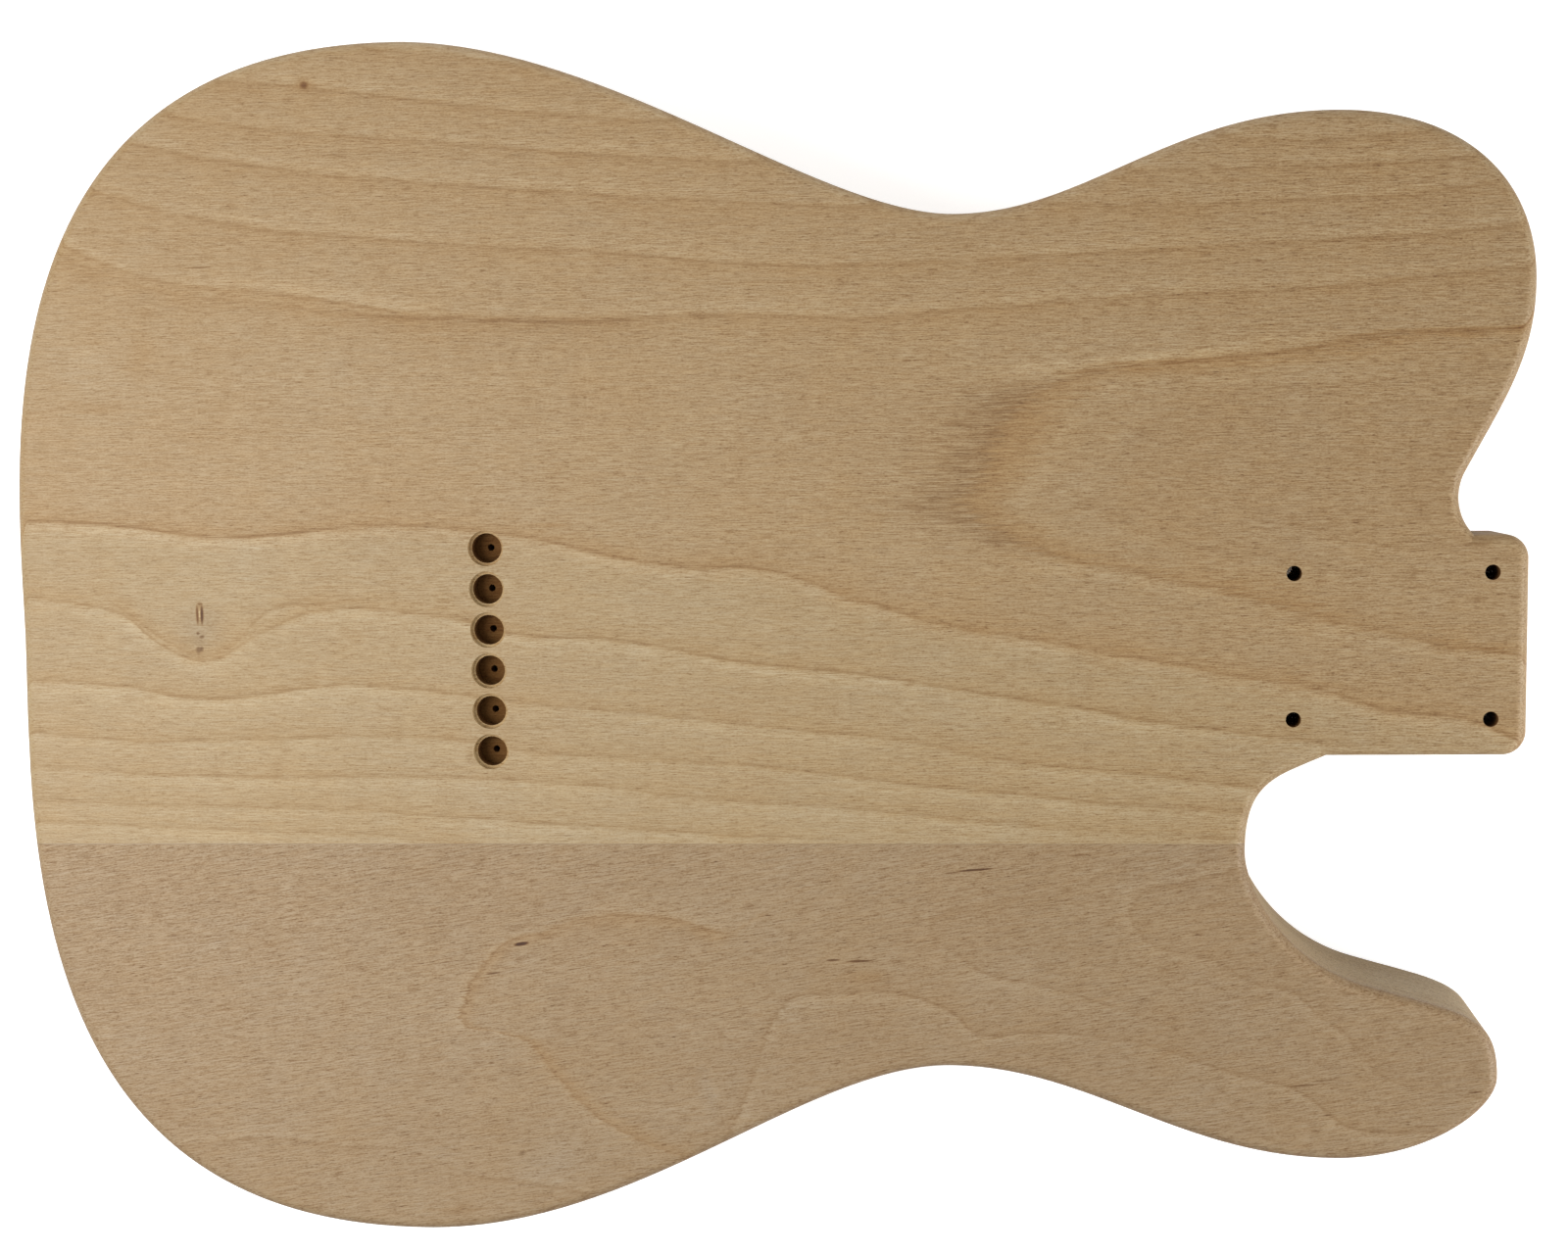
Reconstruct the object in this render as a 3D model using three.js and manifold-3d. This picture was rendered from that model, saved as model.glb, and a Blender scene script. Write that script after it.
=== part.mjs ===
import * as THREE from 'three';
import { mergeVertices } from 'three/addons/utils/BufferGeometryUtils.js';
import Module from 'manifold-3d';

// Body of a left-handed solid electric guitar with one cutaway, sanded and not yet finished.
// Two boards are glued edge to edge, and the blank is then cut, routed and drilled as one piece of wood.
// It lies face down: +X runs from the tail to the neck, +Y to the bass side and +Z to the back.
// The origin is on the front face, where the row of string holes crosses the centreline. Millimetres.

// Blank
const bodyThickness = 44.5;
const edgeRadius = 3.2;
const glueLineOffset = 51.9;
const glueFilm = 0.2;

// Reach of the outline along the centreline, from the string row
const tailReach = 126.4;
const tailApexOffset = 5.5;
const heelReach = 272;
const shoulderPastHeel = 0.9;
const shoulderOffset = 93.2;

// Bouts and waist, as half widths and places along the body
const lowerBoutHalf = 158.4;
const lowerBoutBack = 21.2;
const waistHalf = 112.3;
const bassWaistAhead = 124.5;
const trebleWaistAhead = 121.2;
const upperBoutHalf = 137;
const bassBoutFromHeel = 50.8;
const trebleBoutFromHeel = 48.2;

// Heel tongue that carries the neck
const tongueWidth = 57.4;
const heelCornerEase = 3;
const notchFromHeel = 18.1;
const notchFromTongue = 9.8;
const notchRadius = 13.8;
const notchTurn = 28;

// Cutaway and horn
const cutawayRootFromHeel = 51.5;
const cutawayRootTurn = 24;
const cutawayFromHeel = 72.5;
const cutawayFromTongue = 25.6;
const hornWallFromHeel = 40.3;
const hornWallFromBout = 46.7;
const hornWallTurn = 16.3;
const hornTipFromHeel = 5.9;
const hornTipInset = 22.4;

// Neck pocket and its four bolt holes
const pocketWidth = 56;
const pocketLength = 76.2;
const pocketDepth = 15.9;
const pocketCornerRadius = 6.4;
const boltSpanAlong = 50.8;
const boltSpanAcross = 38.1;
const boltsFromHeel = 34.9;
const boltHoleDiameter = 4;

// String holes with a stepped seat for a ferrule on the back
const stringCount = 6;
const stringPitch = 10.8;
const stringHoleDiameter = 2.4;
const ferruleSeatDiameter = 7.9;
const ferruleSeatDepth = 6.4;
const ferruleRimDiameter = 9.4;
const ferruleRimDepth = 1.6;

// Pickup cavities in the front
const neckPickupLength = 74;
const neckPickupWidth = 24;
const neckPickupDepth = 16;
const neckPickupWall = 10;
const bridgePickupLength = 78;
const bridgePickupWidth = 32;
const bridgePickupDepth = 19;
const bridgePickupAhead = 52;
const bridgePickupSlant = 15.7;
const pickupCornerRadius = 6;

// Control cavity, its wire ways and the jack bore
const controlLength = 136;
const controlWidth = 26;
const controlAhead = 30;
const controlOffset = 70;
const controlFloor = 6.5;
const controlCornerRadius = 9.5;
const wireTroughWidth = 12.7;
const wireHoleDiameter = 9.5;
const jackBack = 62;
const jackBoreDiameter = 22.2;
const jackBoreDepth = 42;
const jackLeadDiameter = 12.7;

// Smoothness of the curves, and how far each cut runs past the wood
const facetTurn = 4;
const longestFacet = 14;
const edgeSteps = 4;
const seatFacets = 24;
const holeFacets = 12;
const cornerSteps = 5;
const overrun = 6;

// Lengths of the curve leads, as shares of the straight distance between the two ends
const tailLeadShares = [0.23, 0.61];
const lowerLeadShares = [0.355, 0.229];
const trebleLowerLeadShares = [0.257, 0.381];
const upperLeadShares = [0.339, 0.426];
const trebleUpperLeadShares = [0.389, 0.35];
const shoulderLeadShares = [0.488, 0.381];
const shoulderFallLeadShares = [0.38, 0.38];
const throatLeadShares = [0.42, 0.573];
const hornWallLeadShares = [0.194, 0.48];
const hornTipLeadShares = [0.63, 0.41];
const hornBellyLeadShares = [0.182, 0.512];

// Places that several features share
const tongueHalf = tongueWidth / 2;
const pocketEnd = heelReach - pocketLength;
const boltCentre = heelReach - boltsFromHeel;
const notchOffset = tongueHalf + notchFromTongue;
const notchCentre = heelReach - notchFromHeel + notchRadius;
const notchDrop = Math.asin(Math.min(1, notchFromTongue / notchRadius));
const notchCorner = notchCentre - notchRadius * Math.cos(notchDrop);
const cutawayRoot = heelReach - cutawayRootFromHeel;
const heelCornerRadius = edgeRadius + heelCornerEase;
const neckPickupAhead = pocketEnd - neckPickupWall - neckPickupWidth / 2;
const controlDepth = bodyThickness - controlFloor;

const radians = THREE.MathUtils.degToRad;
const at = (x, y) => new THREE.Vector2(x, y);
const heading = (angle) => at(Math.cos(angle), Math.sin(angle));

// One stretch of the outline, leaving one station and reaching the next in the headings given
function sweep(from, leaving, to, arriving, leadShares) {
  const span = from.distanceTo(to);
  const start = from.clone().addScaledVector(heading(leaving), leadShares[0] * span);
  const end = to.clone().addScaledVector(heading(arriving), -leadShares[1] * span);
  return new THREE.CubicBezierCurve(from, start, end, to);
}

function arc(x, y, radius, fromAngle, toAngle) {
  return new THREE.EllipseCurve(x, y, radius, radius, fromAngle, toAngle, true);
}

// The outline, clockwise as seen from the back, from the tail round the bass side and back
function outlineStretches() {
  const toNeck = 0;
  const fromNeck = Math.PI;
  const toBass = fromNeck / 2;
  const toTreble = -toBass;
  const notchSplay = radians(notchTurn);
  const wallSplay = radians(hornWallTurn);
  const tail = at(-tailReach, tailApexOffset);
  const bassLower = at(-lowerBoutBack, lowerBoutHalf);
  const bassWaist = at(bassWaistAhead, waistHalf);
  const bassUpper = at(heelReach - bassBoutFromHeel, upperBoutHalf);
  const shoulder = at(heelReach + shoulderPastHeel, shoulderOffset);
  const notchTop = at(notchCentre, notchOffset).addScaledVector(heading(fromNeck - notchSplay), notchRadius);
  const root = at(cutawayRoot, -tongueHalf);
  const throat = at(heelReach - cutawayFromHeel, -tongueHalf - cutawayFromTongue);
  const hornWall = at(heelReach - hornWallFromHeel, hornWallFromBout - upperBoutHalf);
  const hornTip = at(heelReach - hornTipFromHeel, hornTipInset - upperBoutHalf);
  const trebleUpper = at(heelReach - trebleBoutFromHeel, -upperBoutHalf);
  const trebleWaist = at(trebleWaistAhead, -waistHalf);
  const trebleLower = at(-lowerBoutBack, -lowerBoutHalf);
  const heelCorner = heelReach - heelCornerRadius;
  const cornerOffset = tongueHalf - heelCornerRadius;
  return [
    sweep(tail, toBass, bassLower, toNeck, tailLeadShares),
    sweep(bassLower, toNeck, bassWaist, toNeck, lowerLeadShares),
    sweep(bassWaist, toNeck, bassUpper, toNeck, upperLeadShares),
    sweep(bassUpper, toNeck, shoulder, toTreble, shoulderLeadShares),
    sweep(shoulder, toTreble, notchTop, toTreble - notchSplay, shoulderFallLeadShares),
    new THREE.EllipseCurve(
      notchCentre, notchOffset, notchRadius, notchRadius, fromNeck - notchSplay, fromNeck + notchDrop, false,
    ),
    arc(heelCorner, cornerOffset, heelCornerRadius, toBass, toNeck),
    arc(heelCorner, -cornerOffset, heelCornerRadius, toNeck, toTreble),
    new THREE.LineCurve(at(heelCorner, -tongueHalf), root),
    sweep(root, fromNeck + radians(cutawayRootTurn), throat, toTreble, throatLeadShares),
    sweep(throat, toTreble, hornWall, -wallSplay, hornWallLeadShares),
    sweep(hornWall, -wallSplay, hornTip, toTreble, hornTipLeadShares),
    sweep(hornTip, toTreble, trebleUpper, fromNeck, hornBellyLeadShares),
    sweep(trebleUpper, fromNeck, trebleWaist, fromNeck, trebleUpperLeadShares),
    sweep(trebleWaist, fromNeck, trebleLower, fromNeck, trebleLowerLeadShares),
    sweep(trebleLower, fromNeck, tail, toBass, [...tailLeadShares].reverse()),
  ];
}

// Points along one stretch, close together where it turns and further apart where it runs nearly straight
function pointsAlong(stretch) {
  if (stretch.isLineCurve) return [stretch.v1];
  const probes = 200;
  const shortest = stretch.getLength() / probes;
  const points = [stretch.getPoint(0)];
  let turned = 0;
  let travelled = 0;
  let facing = stretch.getTangentAt(0).angle();
  for (let i = 1; i < probes; i += 1) {
    const next = stretch.getTangentAt(i / probes).angle();
    turned += Math.abs(THREE.MathUtils.euclideanModulo(next - facing + Math.PI, 2 * Math.PI) - Math.PI);
    travelled += shortest;
    facing = next;
    if (turned >= radians(facetTurn) || travelled >= longestFacet) {
      points.push(stretch.getPointAt(i / probes));
      turned = 0;
      travelled = 0;
    }
  }
  return points;
}

const outline = outlineStretches().flatMap(pointsAlong);

// Solids from closed geometries
const wasm = await Module();
wasm.setup();

function solidOf(geometry) {
  geometry.deleteAttribute('normal');
  geometry.deleteAttribute('uv');
  const merged = mergeVertices(geometry);
  return new wasm.Manifold(new wasm.Mesh({
    numProp: 3,
    vertProperties: new Float32Array(merged.attributes.position.array),
    triVerts: new Uint32Array(merged.index.array),
  }));
}

function geometryOf(solid) {
  const { vertProperties, triVerts } = solid.getMesh();
  const geometry = new THREE.BufferGeometry();
  geometry.setAttribute('position', new THREE.BufferAttribute(vertProperties, 3));
  geometry.setIndex(new THREE.BufferAttribute(triVerts, 1));
  geometry.computeVertexNormals();
  return geometry;
}

// Rectangle with rounded corners, centred, length along X
function roundedRectangle(length, width, radius) {
  const x = length / 2 - radius;
  const y = width / 2 - radius;
  const shape = new THREE.Shape();
  shape.absarc(x, y, radius, 0, Math.PI / 2);
  shape.absarc(-x, y, radius, Math.PI / 2, Math.PI);
  shape.absarc(-x, -y, radius, Math.PI, 1.5 * Math.PI);
  shape.absarc(x, -y, radius, 1.5 * Math.PI, 2 * Math.PI);
  return shape;
}

// Router cut from the front face to a depth, turned about its middle and set down at a place
function routed(shape, depth, x, y, turn) {
  const cut = new THREE.ExtrudeGeometry(shape, {
    depth: depth + overrun,
    bevelEnabled: false,
    curveSegments: cornerSteps,
  });
  cut.rotateZ(turn);
  cut.translate(x, y, -overrun);
  return solidOf(cut);
}

// Plain drilled hole along Z
function drilled(diameter, x, y, low, high, facets) {
  const cut = new THREE.CylinderGeometry(diameter / 2, diameter / 2, high - low, facets);
  cut.rotateX(Math.PI / 2);
  cut.translate(x, y, (low + high) / 2);
  return solidOf(cut);
}

// Drilled hole between any two places
function drilledBetween(diameter, from, to) {
  const run = to.clone().sub(from);
  const cut = new THREE.CylinderGeometry(diameter / 2, diameter / 2, run.length(), seatFacets);
  const turn = new THREE.Quaternion().setFromUnitVectors(new THREE.Vector3(0, 1, 0), run.clone().normalize());
  cut.applyQuaternion(turn);
  cut.translate(...from.clone().add(to).divideScalar(2));
  return solidOf(cut);
}

// Box with its corners set exactly, so that two boxes that share a face meet without a gap
function boxBetween(low, high) {
  const box = new THREE.BoxGeometry(1, 1, 1);
  const corners = box.attributes.position;
  const pick = (side, axis) => (side < 0 ? low[axis] : high[axis]);
  for (let i = 0; i < corners.count; i += 1) {
    corners.setXYZ(i, pick(corners.getX(i), 'x'), pick(corners.getY(i), 'y'), pick(corners.getZ(i), 'z'));
  }
  return solidOf(box);
}

// Blank with a quarter-round edge on both faces
function roundedBlank() {
  const geometry = new THREE.ExtrudeGeometry(new THREE.Shape(outline), {
    depth: bodyThickness - 2 * edgeRadius,
    bevelThickness: edgeRadius,
    bevelSize: edgeRadius,
    bevelOffset: -edgeRadius,
    bevelSegments: edgeSteps,
  });
  geometry.translate(0, 0, edgeRadius);
  return solidOf(geometry);
}

// Neck pocket, open at the heel end, and at both sides where the tongue is hardly wider than the neck
function neckPocket() {
  const reach = heelReach + overrun;
  const corner = pocketEnd + pocketCornerRadius;
  const side = pocketWidth / 2;
  const shape = new THREE.Shape();
  shape.moveTo(reach, -side);
  shape.lineTo(reach, side);
  shape.absarc(corner, side - pocketCornerRadius, pocketCornerRadius, Math.PI / 2, Math.PI);
  shape.absarc(corner, pocketCornerRadius - side, pocketCornerRadius, Math.PI, 1.5 * Math.PI);
  const sideRun = tongueHalf + overrun;
  const bassSide = boxBetween(
    new THREE.Vector3(notchCorner, 0, -overrun),
    new THREE.Vector3(reach, sideRun, pocketDepth),
  );
  const trebleSide = boxBetween(
    new THREE.Vector3(cutawayRoot, -sideRun, -overrun),
    new THREE.Vector3(reach, 0, pocketDepth),
  );
  return routed(shape, pocketDepth, 0, 0, 0).add(bassSide).add(trebleSide);
}

function boltHoles() {
  const holes = [];
  for (const along of [-1, 1]) {
    for (const across of [-1, 1]) {
      const x = boltCentre + along * boltSpanAlong / 2;
      const y = across * boltSpanAcross / 2;
      holes.push(drilled(boltHoleDiameter, x, y, -overrun, bodyThickness + overrun, seatFacets));
    }
  }
  return holes;
}

// String hole right through, with the ferrule's seat and its shallow rim sunk from the back
function stringHoles() {
  const holes = [];
  const top = bodyThickness + overrun;
  for (let i = 0; i < stringCount; i += 1) {
    const y = (i - (stringCount - 1) / 2) * stringPitch;
    holes.push(
      drilled(stringHoleDiameter, 0, y, -overrun, top, holeFacets),
      drilled(ferruleSeatDiameter, 0, y, bodyThickness - ferruleSeatDepth, top, seatFacets),
      drilled(ferruleRimDiameter, 0, y, bodyThickness - ferruleRimDepth, top, seatFacets),
    );
  }
  return holes;
}

// Pickup cavities: the neck one square to the strings, the bridge one slanted, its bass end nearer the neck
function pickupCavities() {
  const acrossStrings = Math.PI / 2;
  const neckShape = roundedRectangle(neckPickupLength, neckPickupWidth, pickupCornerRadius);
  const bridgeShape = roundedRectangle(bridgePickupLength, bridgePickupWidth, pickupCornerRadius);
  return [
    routed(neckShape, neckPickupDepth, neckPickupAhead, 0, acrossStrings),
    routed(bridgeShape, bridgePickupDepth, bridgePickupAhead, 0, acrossStrings - radians(bridgePickupSlant)),
  ];
}

// Trough under the pickguard, from the neck pickup's treble end to the control cavity
function wireTrough() {
  const inset = wireTroughWidth / 2;
  const pickupEnd = at(neckPickupAhead, inset - neckPickupLength / 2);
  const controlEnd = at(controlAhead + controlLength / 2 - inset, -controlOffset);
  const run = controlEnd.clone().sub(pickupEnd);
  const shape = roundedRectangle(run.length() + wireTroughWidth, wireTroughWidth, inset);
  const middle = pickupEnd.add(controlEnd).divideScalar(2);
  return routed(shape, neckPickupDepth, middle.x, middle.y, run.angle());
}

// Slanting hole that takes the bridge pickup's wires down into the control cavity
function bridgeWireHole() {
  const slant = radians(bridgePickupSlant);
  const reach = bridgePickupLength / 2 - wireHoleDiameter;
  const x = bridgePickupAhead - reach * Math.sin(slant);
  const from = new THREE.Vector3(x, -reach * Math.cos(slant), bridgePickupDepth / 2);
  const to = new THREE.Vector3(x, -controlOffset, controlDepth - wireHoleDiameter);
  return drilledBetween(wireHoleDiameter, from, to);
}

// Where the treble edge crosses a place along the body, and the way straight into the wood from there
function trebleEdgeAt(x) {
  const next = outline.findIndex((point, i) => i > 0 && point.y < -waistHalf && point.x <= x);
  const near = outline[next - 1];
  const far = outline[next];
  const point = near.clone().lerp(far, (near.x - x) / (near.x - far.x));
  const along = far.clone().sub(near).normalize();
  return { point, inward: at(along.y, -along.x) };
}

// Jack bore square to the edge at half the thickness, and the narrower hole from its floor to the controls
function jackHoles() {
  const { point, inward } = trebleEdgeAt(-jackBack);
  const middle = bodyThickness / 2;
  const outside = point.clone().addScaledVector(inward, -overrun);
  const floor = point.clone().addScaledVector(inward, jackBoreDepth);
  const leadStart = floor.clone().addScaledVector(inward, -overrun);
  const leadEnd = at(controlAhead - controlLength / 2 + controlWidth / 2, -controlOffset);
  const raised = ({ x, y }) => new THREE.Vector3(x, y, middle);
  return [
    drilledBetween(jackBoreDiameter, raised(outside), raised(floor)),
    drilledBetween(jackLeadDiameter, raised(leadStart), raised(leadEnd)),
  ];
}

function controlCavity() {
  const shape = roundedRectangle(controlLength, controlWidth, controlCornerRadius);
  return routed(shape, controlDepth, controlAhead, -controlOffset, 0);
}

// The finished blank, with every cut made through both boards at once
function finishedBlank() {
  const cuts = [
    neckPocket(),
    ...boltHoles(),
    ...stringHoles(),
    ...pickupCavities(),
    wireTrough(),
    bridgeWireHole(),
    controlCavity(),
    ...jackHoles(),
  ];
  return cuts.reduce((wood, cut) => wood.subtract(cut), roundedBlank());
}

// The part of the blank between two places across the body
function between(blank, lowY, highY) {
  const low = new THREE.Vector3(-tailReach - overrun, lowY, -overrun);
  const high = new THREE.Vector3(heelReach + shoulderPastHeel + overrun, highY, bodyThickness + overrun);
  return geometryOf(blank.intersect(boxBetween(low, high)));
}

const blank = finishedBlank();
const bassFace = (glueFilm / 2) - glueLineOffset;
const trebleFace = -(glueFilm / 2) - glueLineOffset;
const widest = lowerBoutHalf + upperBoutHalf + overrun;

const bassWood = new THREE.MeshStandardMaterial({ color: 0xb39873, roughness: 0.72, metalness: 0 });
const trebleWood = new THREE.MeshStandardMaterial({ color: 0xa99170, roughness: 0.74, metalness: 0 });
const driedGlue = new THREE.MeshStandardMaterial({ color: 0x8a7150, roughness: 0.5, metalness: 0 });

const body = new THREE.Group();

function addPiece(name, geometry, material) {
  const piece = new THREE.Mesh(geometry, material);
  piece.name = name;
  body.add(piece);
}

addPiece('bass_board', between(blank, bassFace, widest), bassWood);
addPiece('glue_line', between(blank, trebleFace, bassFace), driedGlue);
addPiece('treble_board', between(blank, -widest, trebleFace), trebleWood);

export default body;
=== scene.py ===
import math

import bmesh
import bpy
from bpy.props import FloatProperty, FloatVectorProperty, IntProperty, PointerProperty
from mathutils import Euler, Matrix, Vector


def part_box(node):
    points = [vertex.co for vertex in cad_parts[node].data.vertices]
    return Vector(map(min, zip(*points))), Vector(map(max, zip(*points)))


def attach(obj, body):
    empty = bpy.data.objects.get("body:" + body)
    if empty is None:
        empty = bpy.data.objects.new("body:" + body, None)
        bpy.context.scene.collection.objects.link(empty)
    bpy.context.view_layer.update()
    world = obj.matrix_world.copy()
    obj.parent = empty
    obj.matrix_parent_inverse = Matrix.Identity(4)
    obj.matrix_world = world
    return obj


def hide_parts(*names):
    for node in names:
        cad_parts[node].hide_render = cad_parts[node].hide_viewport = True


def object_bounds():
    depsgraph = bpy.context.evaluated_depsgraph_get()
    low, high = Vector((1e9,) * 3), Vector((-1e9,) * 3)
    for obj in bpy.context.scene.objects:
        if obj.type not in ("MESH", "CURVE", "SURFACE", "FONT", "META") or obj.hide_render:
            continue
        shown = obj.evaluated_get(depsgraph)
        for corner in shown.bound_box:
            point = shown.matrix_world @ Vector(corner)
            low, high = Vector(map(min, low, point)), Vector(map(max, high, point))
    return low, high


bl_info = {
    "name": "Solid Guitar Body",
    "version": (1, 0, 0),
    "blender": (4, 5, 0),
    "location": "3D View > Sidebar > Guitar Body",
    "description": "Bare sanded solid guitar body of two glued boards, seen from the back",
    "category": "Object",
}

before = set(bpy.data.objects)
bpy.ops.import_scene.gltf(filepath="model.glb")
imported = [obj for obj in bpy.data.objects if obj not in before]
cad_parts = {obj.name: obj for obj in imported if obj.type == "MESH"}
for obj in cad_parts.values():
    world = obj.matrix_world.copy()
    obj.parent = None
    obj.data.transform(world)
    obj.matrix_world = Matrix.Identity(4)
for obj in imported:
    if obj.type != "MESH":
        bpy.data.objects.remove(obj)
CAD_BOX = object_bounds()
BOARD_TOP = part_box("bass_board")[1].z
GLUE_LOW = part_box("glue_line")[0].y
GLUE_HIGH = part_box("glue_line")[1].y
MM = 0.001
FACE, ROUTED, BORED, SEAT = "sanded face", "routed wood", "bored wood", "ferrule seat"

# Where the picture was taken from: place in metres, turn in degrees, and the frame it fills
CAMERA_PLACE = Vector((0.152641, 0.053278, 0.666206))
CAMERA_TURN = Euler((math.radians(-6.0164), math.radians(3.2893), math.radians(-0.5385)))
PICTURE_WIDTH, PICTURE_HEIGHT = 1600, 1280
FOCAL_PIXELS = 2435.2
LENS_CENTRE = Vector((946.2, 708.55))
SENSOR_MM = 36.0


# ------------------------------------------------------------------ sizes and colours a user would change

def length(description, millimetres):
    return FloatProperty, dict(description=description, default=millimetres * MM, min=0.0, precision=4,
                               unit="LENGTH", subtype="DISTANCE")


def turn(description, degrees):
    return FloatProperty, dict(description=description, default=math.radians(degrees), unit="ROTATION",
                               subtype="ANGLE")


def share(description, value):
    return FloatProperty, dict(description=description, default=value, min=0.0, max=4.0, subtype="FACTOR")


def power(description, watts):
    return FloatProperty, dict(description=description, default=watts, min=0.0, unit="POWER")


def colour(description, *channels):
    return FloatVectorProperty, dict(description=description, default=channels, size=3, min=0.0, max=1.0,
                                     subtype="COLOR")


def count(description, number):
    return IntProperty, dict(description=description, default=number, min=1)


def labelled(group):
    """Each property takes its label from its key"""
    for key, (kind, settings) in group.__annotations__.items():
        group.__annotations__[key] = kind(name=key.replace("_", " ").capitalize(), **settings)
    return group


@labelled
class GuitarBodySizes(bpy.types.PropertyGroup):
    """Sizes of the outline, the edge, the neck joint and every cut"""

    thickness: length("From the front face to the back face", BOARD_TOP / MM)
    edge_radius: length("Quarter-round on both faces", 3.2)
    tail_reach: length("From the string row to the tail", 126.4)
    tail_apex_offset: length("Furthest point of the tail, to the bass side", 5.5)
    heel_reach: length("From the string row to the neck end", 272.0)
    shoulder_past_heel: length("How far the bass shoulder passes the neck end", 0.9)
    shoulder_offset: length("Bass shoulder, from the centreline", 93.2)
    lower_bout_half: length("Half the width at the lower bout", 158.4)
    lower_bout_back: length("Widest place, behind the string row", 21.2)
    waist_half: length("Half the width at the waist", 112.3)
    bass_waist_ahead: length("Narrowest place on the bass side", 124.5)
    treble_waist_ahead: length("Narrowest place on the treble side", 121.2)
    upper_bout_half: length("Half the width at the upper bout", 137.0)
    bass_bout_from_heel: length("Widest upper place on the bass side", 50.8)
    treble_bout_from_heel: length("Widest upper place on the treble side", 48.2)
    tongue_width: length("Width of the heel that carries the neck", 57.4)
    heel_corner_ease: length("What the heel corners add to the edge radius", 3.0)
    notch_from_heel: length("Deepest place of the bass-side notch", 18.1)
    notch_from_tongue: length("Notch centre, from the heel's side", 9.8)
    notch_radius: length("Radius of the notch", 13.8)
    notch_turn: turn("Where the shoulder runs into the notch", 28.0)
    cutaway_root_from_heel: length("Where the heel's treble side ends", 51.5)
    cutaway_root_turn: turn("How sharply the cutaway leaves the heel", 24.0)
    cutaway_from_heel: length("Deepest place of the cutaway", 72.5)
    cutaway_from_tongue: length("Deepest place, from the heel's side", 25.6)
    horn_wall_from_heel: length("Inner wall of the horn, behind the neck end", 40.3)
    horn_wall_from_bout: length("Inner wall of the horn, from the bout", 46.7)
    horn_wall_turn: turn("Slant of the horn's inner wall", 16.3)
    horn_tip_from_heel: length("Tip of the horn, behind the neck end", 5.9)
    horn_tip_inset: length("Tip of the horn, in from the bout", 22.4)
    pocket_width: length("Neck pocket, across", 56.0)
    pocket_length: length("Neck pocket, along", 76.2)
    pocket_depth: length("Neck pocket, deep", 15.9)
    pocket_corner_radius: length("Corners at the pocket's end", 6.4)
    bolt_span_along: length("Between the neck screw holes, along", 50.8)
    bolt_span_across: length("Between the neck screw holes, across", 38.1)
    bolts_from_heel: length("Middle of the four holes, behind the neck end", 34.9)
    bolt_hole: length("Diameter of a neck screw hole", 4.0)
    string_count: count("Holes in the string row", 6)
    string_pitch: length("From one string hole to the next", 10.8)
    string_hole: length("Diameter right through", 2.4)
    ferrule_seat: length("Diameter of the seat", 7.9)
    ferrule_seat_depth: length("Depth of the seat", 6.4)
    ferrule_rim: length("Diameter of the shallow rim", 9.4)
    ferrule_rim_depth: length("Depth of the shallow rim", 1.6)
    neck_pickup_length: length("Across the strings", 74.0)
    neck_pickup_width: length("Along the strings", 24.0)
    neck_pickup_depth: length("Depth of the cavity and the wire trough", 16.0)
    neck_pickup_wall: length("Wood left between it and the pocket", 10.0)
    bridge_pickup_length: length("Across the strings", 78.0)
    bridge_pickup_width: length("Along the strings", 32.0)
    bridge_pickup_depth: length("Depth of the cavity", 19.0)
    bridge_pickup_ahead: length("Ahead of the string row", 52.0)
    bridge_pickup_slant: turn("Bass end nearer the neck", 15.7)
    pickup_corner_radius: length("Corners of both pickup cavities", 6.0)
    control_length: length("Control cavity, along", 136.0)
    control_width: length("Control cavity, across", 26.0)
    control_ahead: length("Its middle, ahead of the string row", 30.0)
    control_offset: length("Its middle, to the treble side", 70.0)
    control_floor: length("Wood left under it", 6.5)
    control_corner_radius: length("Corners of the control cavity", 9.5)
    wire_trough_width: length("Trough under the pickguard", 12.7)
    wire_hole: length("Slanting hole from the bridge pickup", 9.5)
    jack_back: length("Jack bore, behind the string row", 62.0)
    jack_bore: length("Diameter of the jack bore", 22.2)
    jack_bore_depth: length("Depth of the jack bore", 42.0)
    jack_lead: length("Hole from the jack bore to the controls", 12.7)
    mouth_ease: length("Sanded edge round each hole and cavity", 0.25)


@labelled
class GuitarBodyLook(bpy.types.PropertyGroup):
    """Colours and strength of the wood's figure"""

    heartwood: colour("Bass board above the heart line", 0.260, 0.1745, 0.0863)
    sapwood: colour("Bass board towards the glue line", 0.267, 0.1875, 0.0965)
    treble_wood: colour("Browner and pinker board", 0.220, 0.146, 0.0758)
    glue: colour("Dried glue between the boards", 0.205, 0.136, 0.070)
    figure: share("Strength of the growth lines", 1.0)
    fibre: share("Strength of the fine fibre", 1.0)
    pith_depth: length("How far behind the front face the tree's middle lay", 60.0)


@labelled
class GuitarBodyStage(bpy.types.PropertyGroup):
    """Floor, light and backdrop"""

    floor_size: length("Side of the pale floor", 9000.0)
    floor_glow: share("Keeps the floor white in shadow", 0.5)
    key_light: power("Soft light over the tail", 3.5)
    fill_light: power("Low soft light from the neck side", 4.0)
    side_light: power("Low soft light from the bass side", 1.3)
    sky: share("Strength of the even light all round", 0.65)


# ------------------------------------------------------------------ outline

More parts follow.
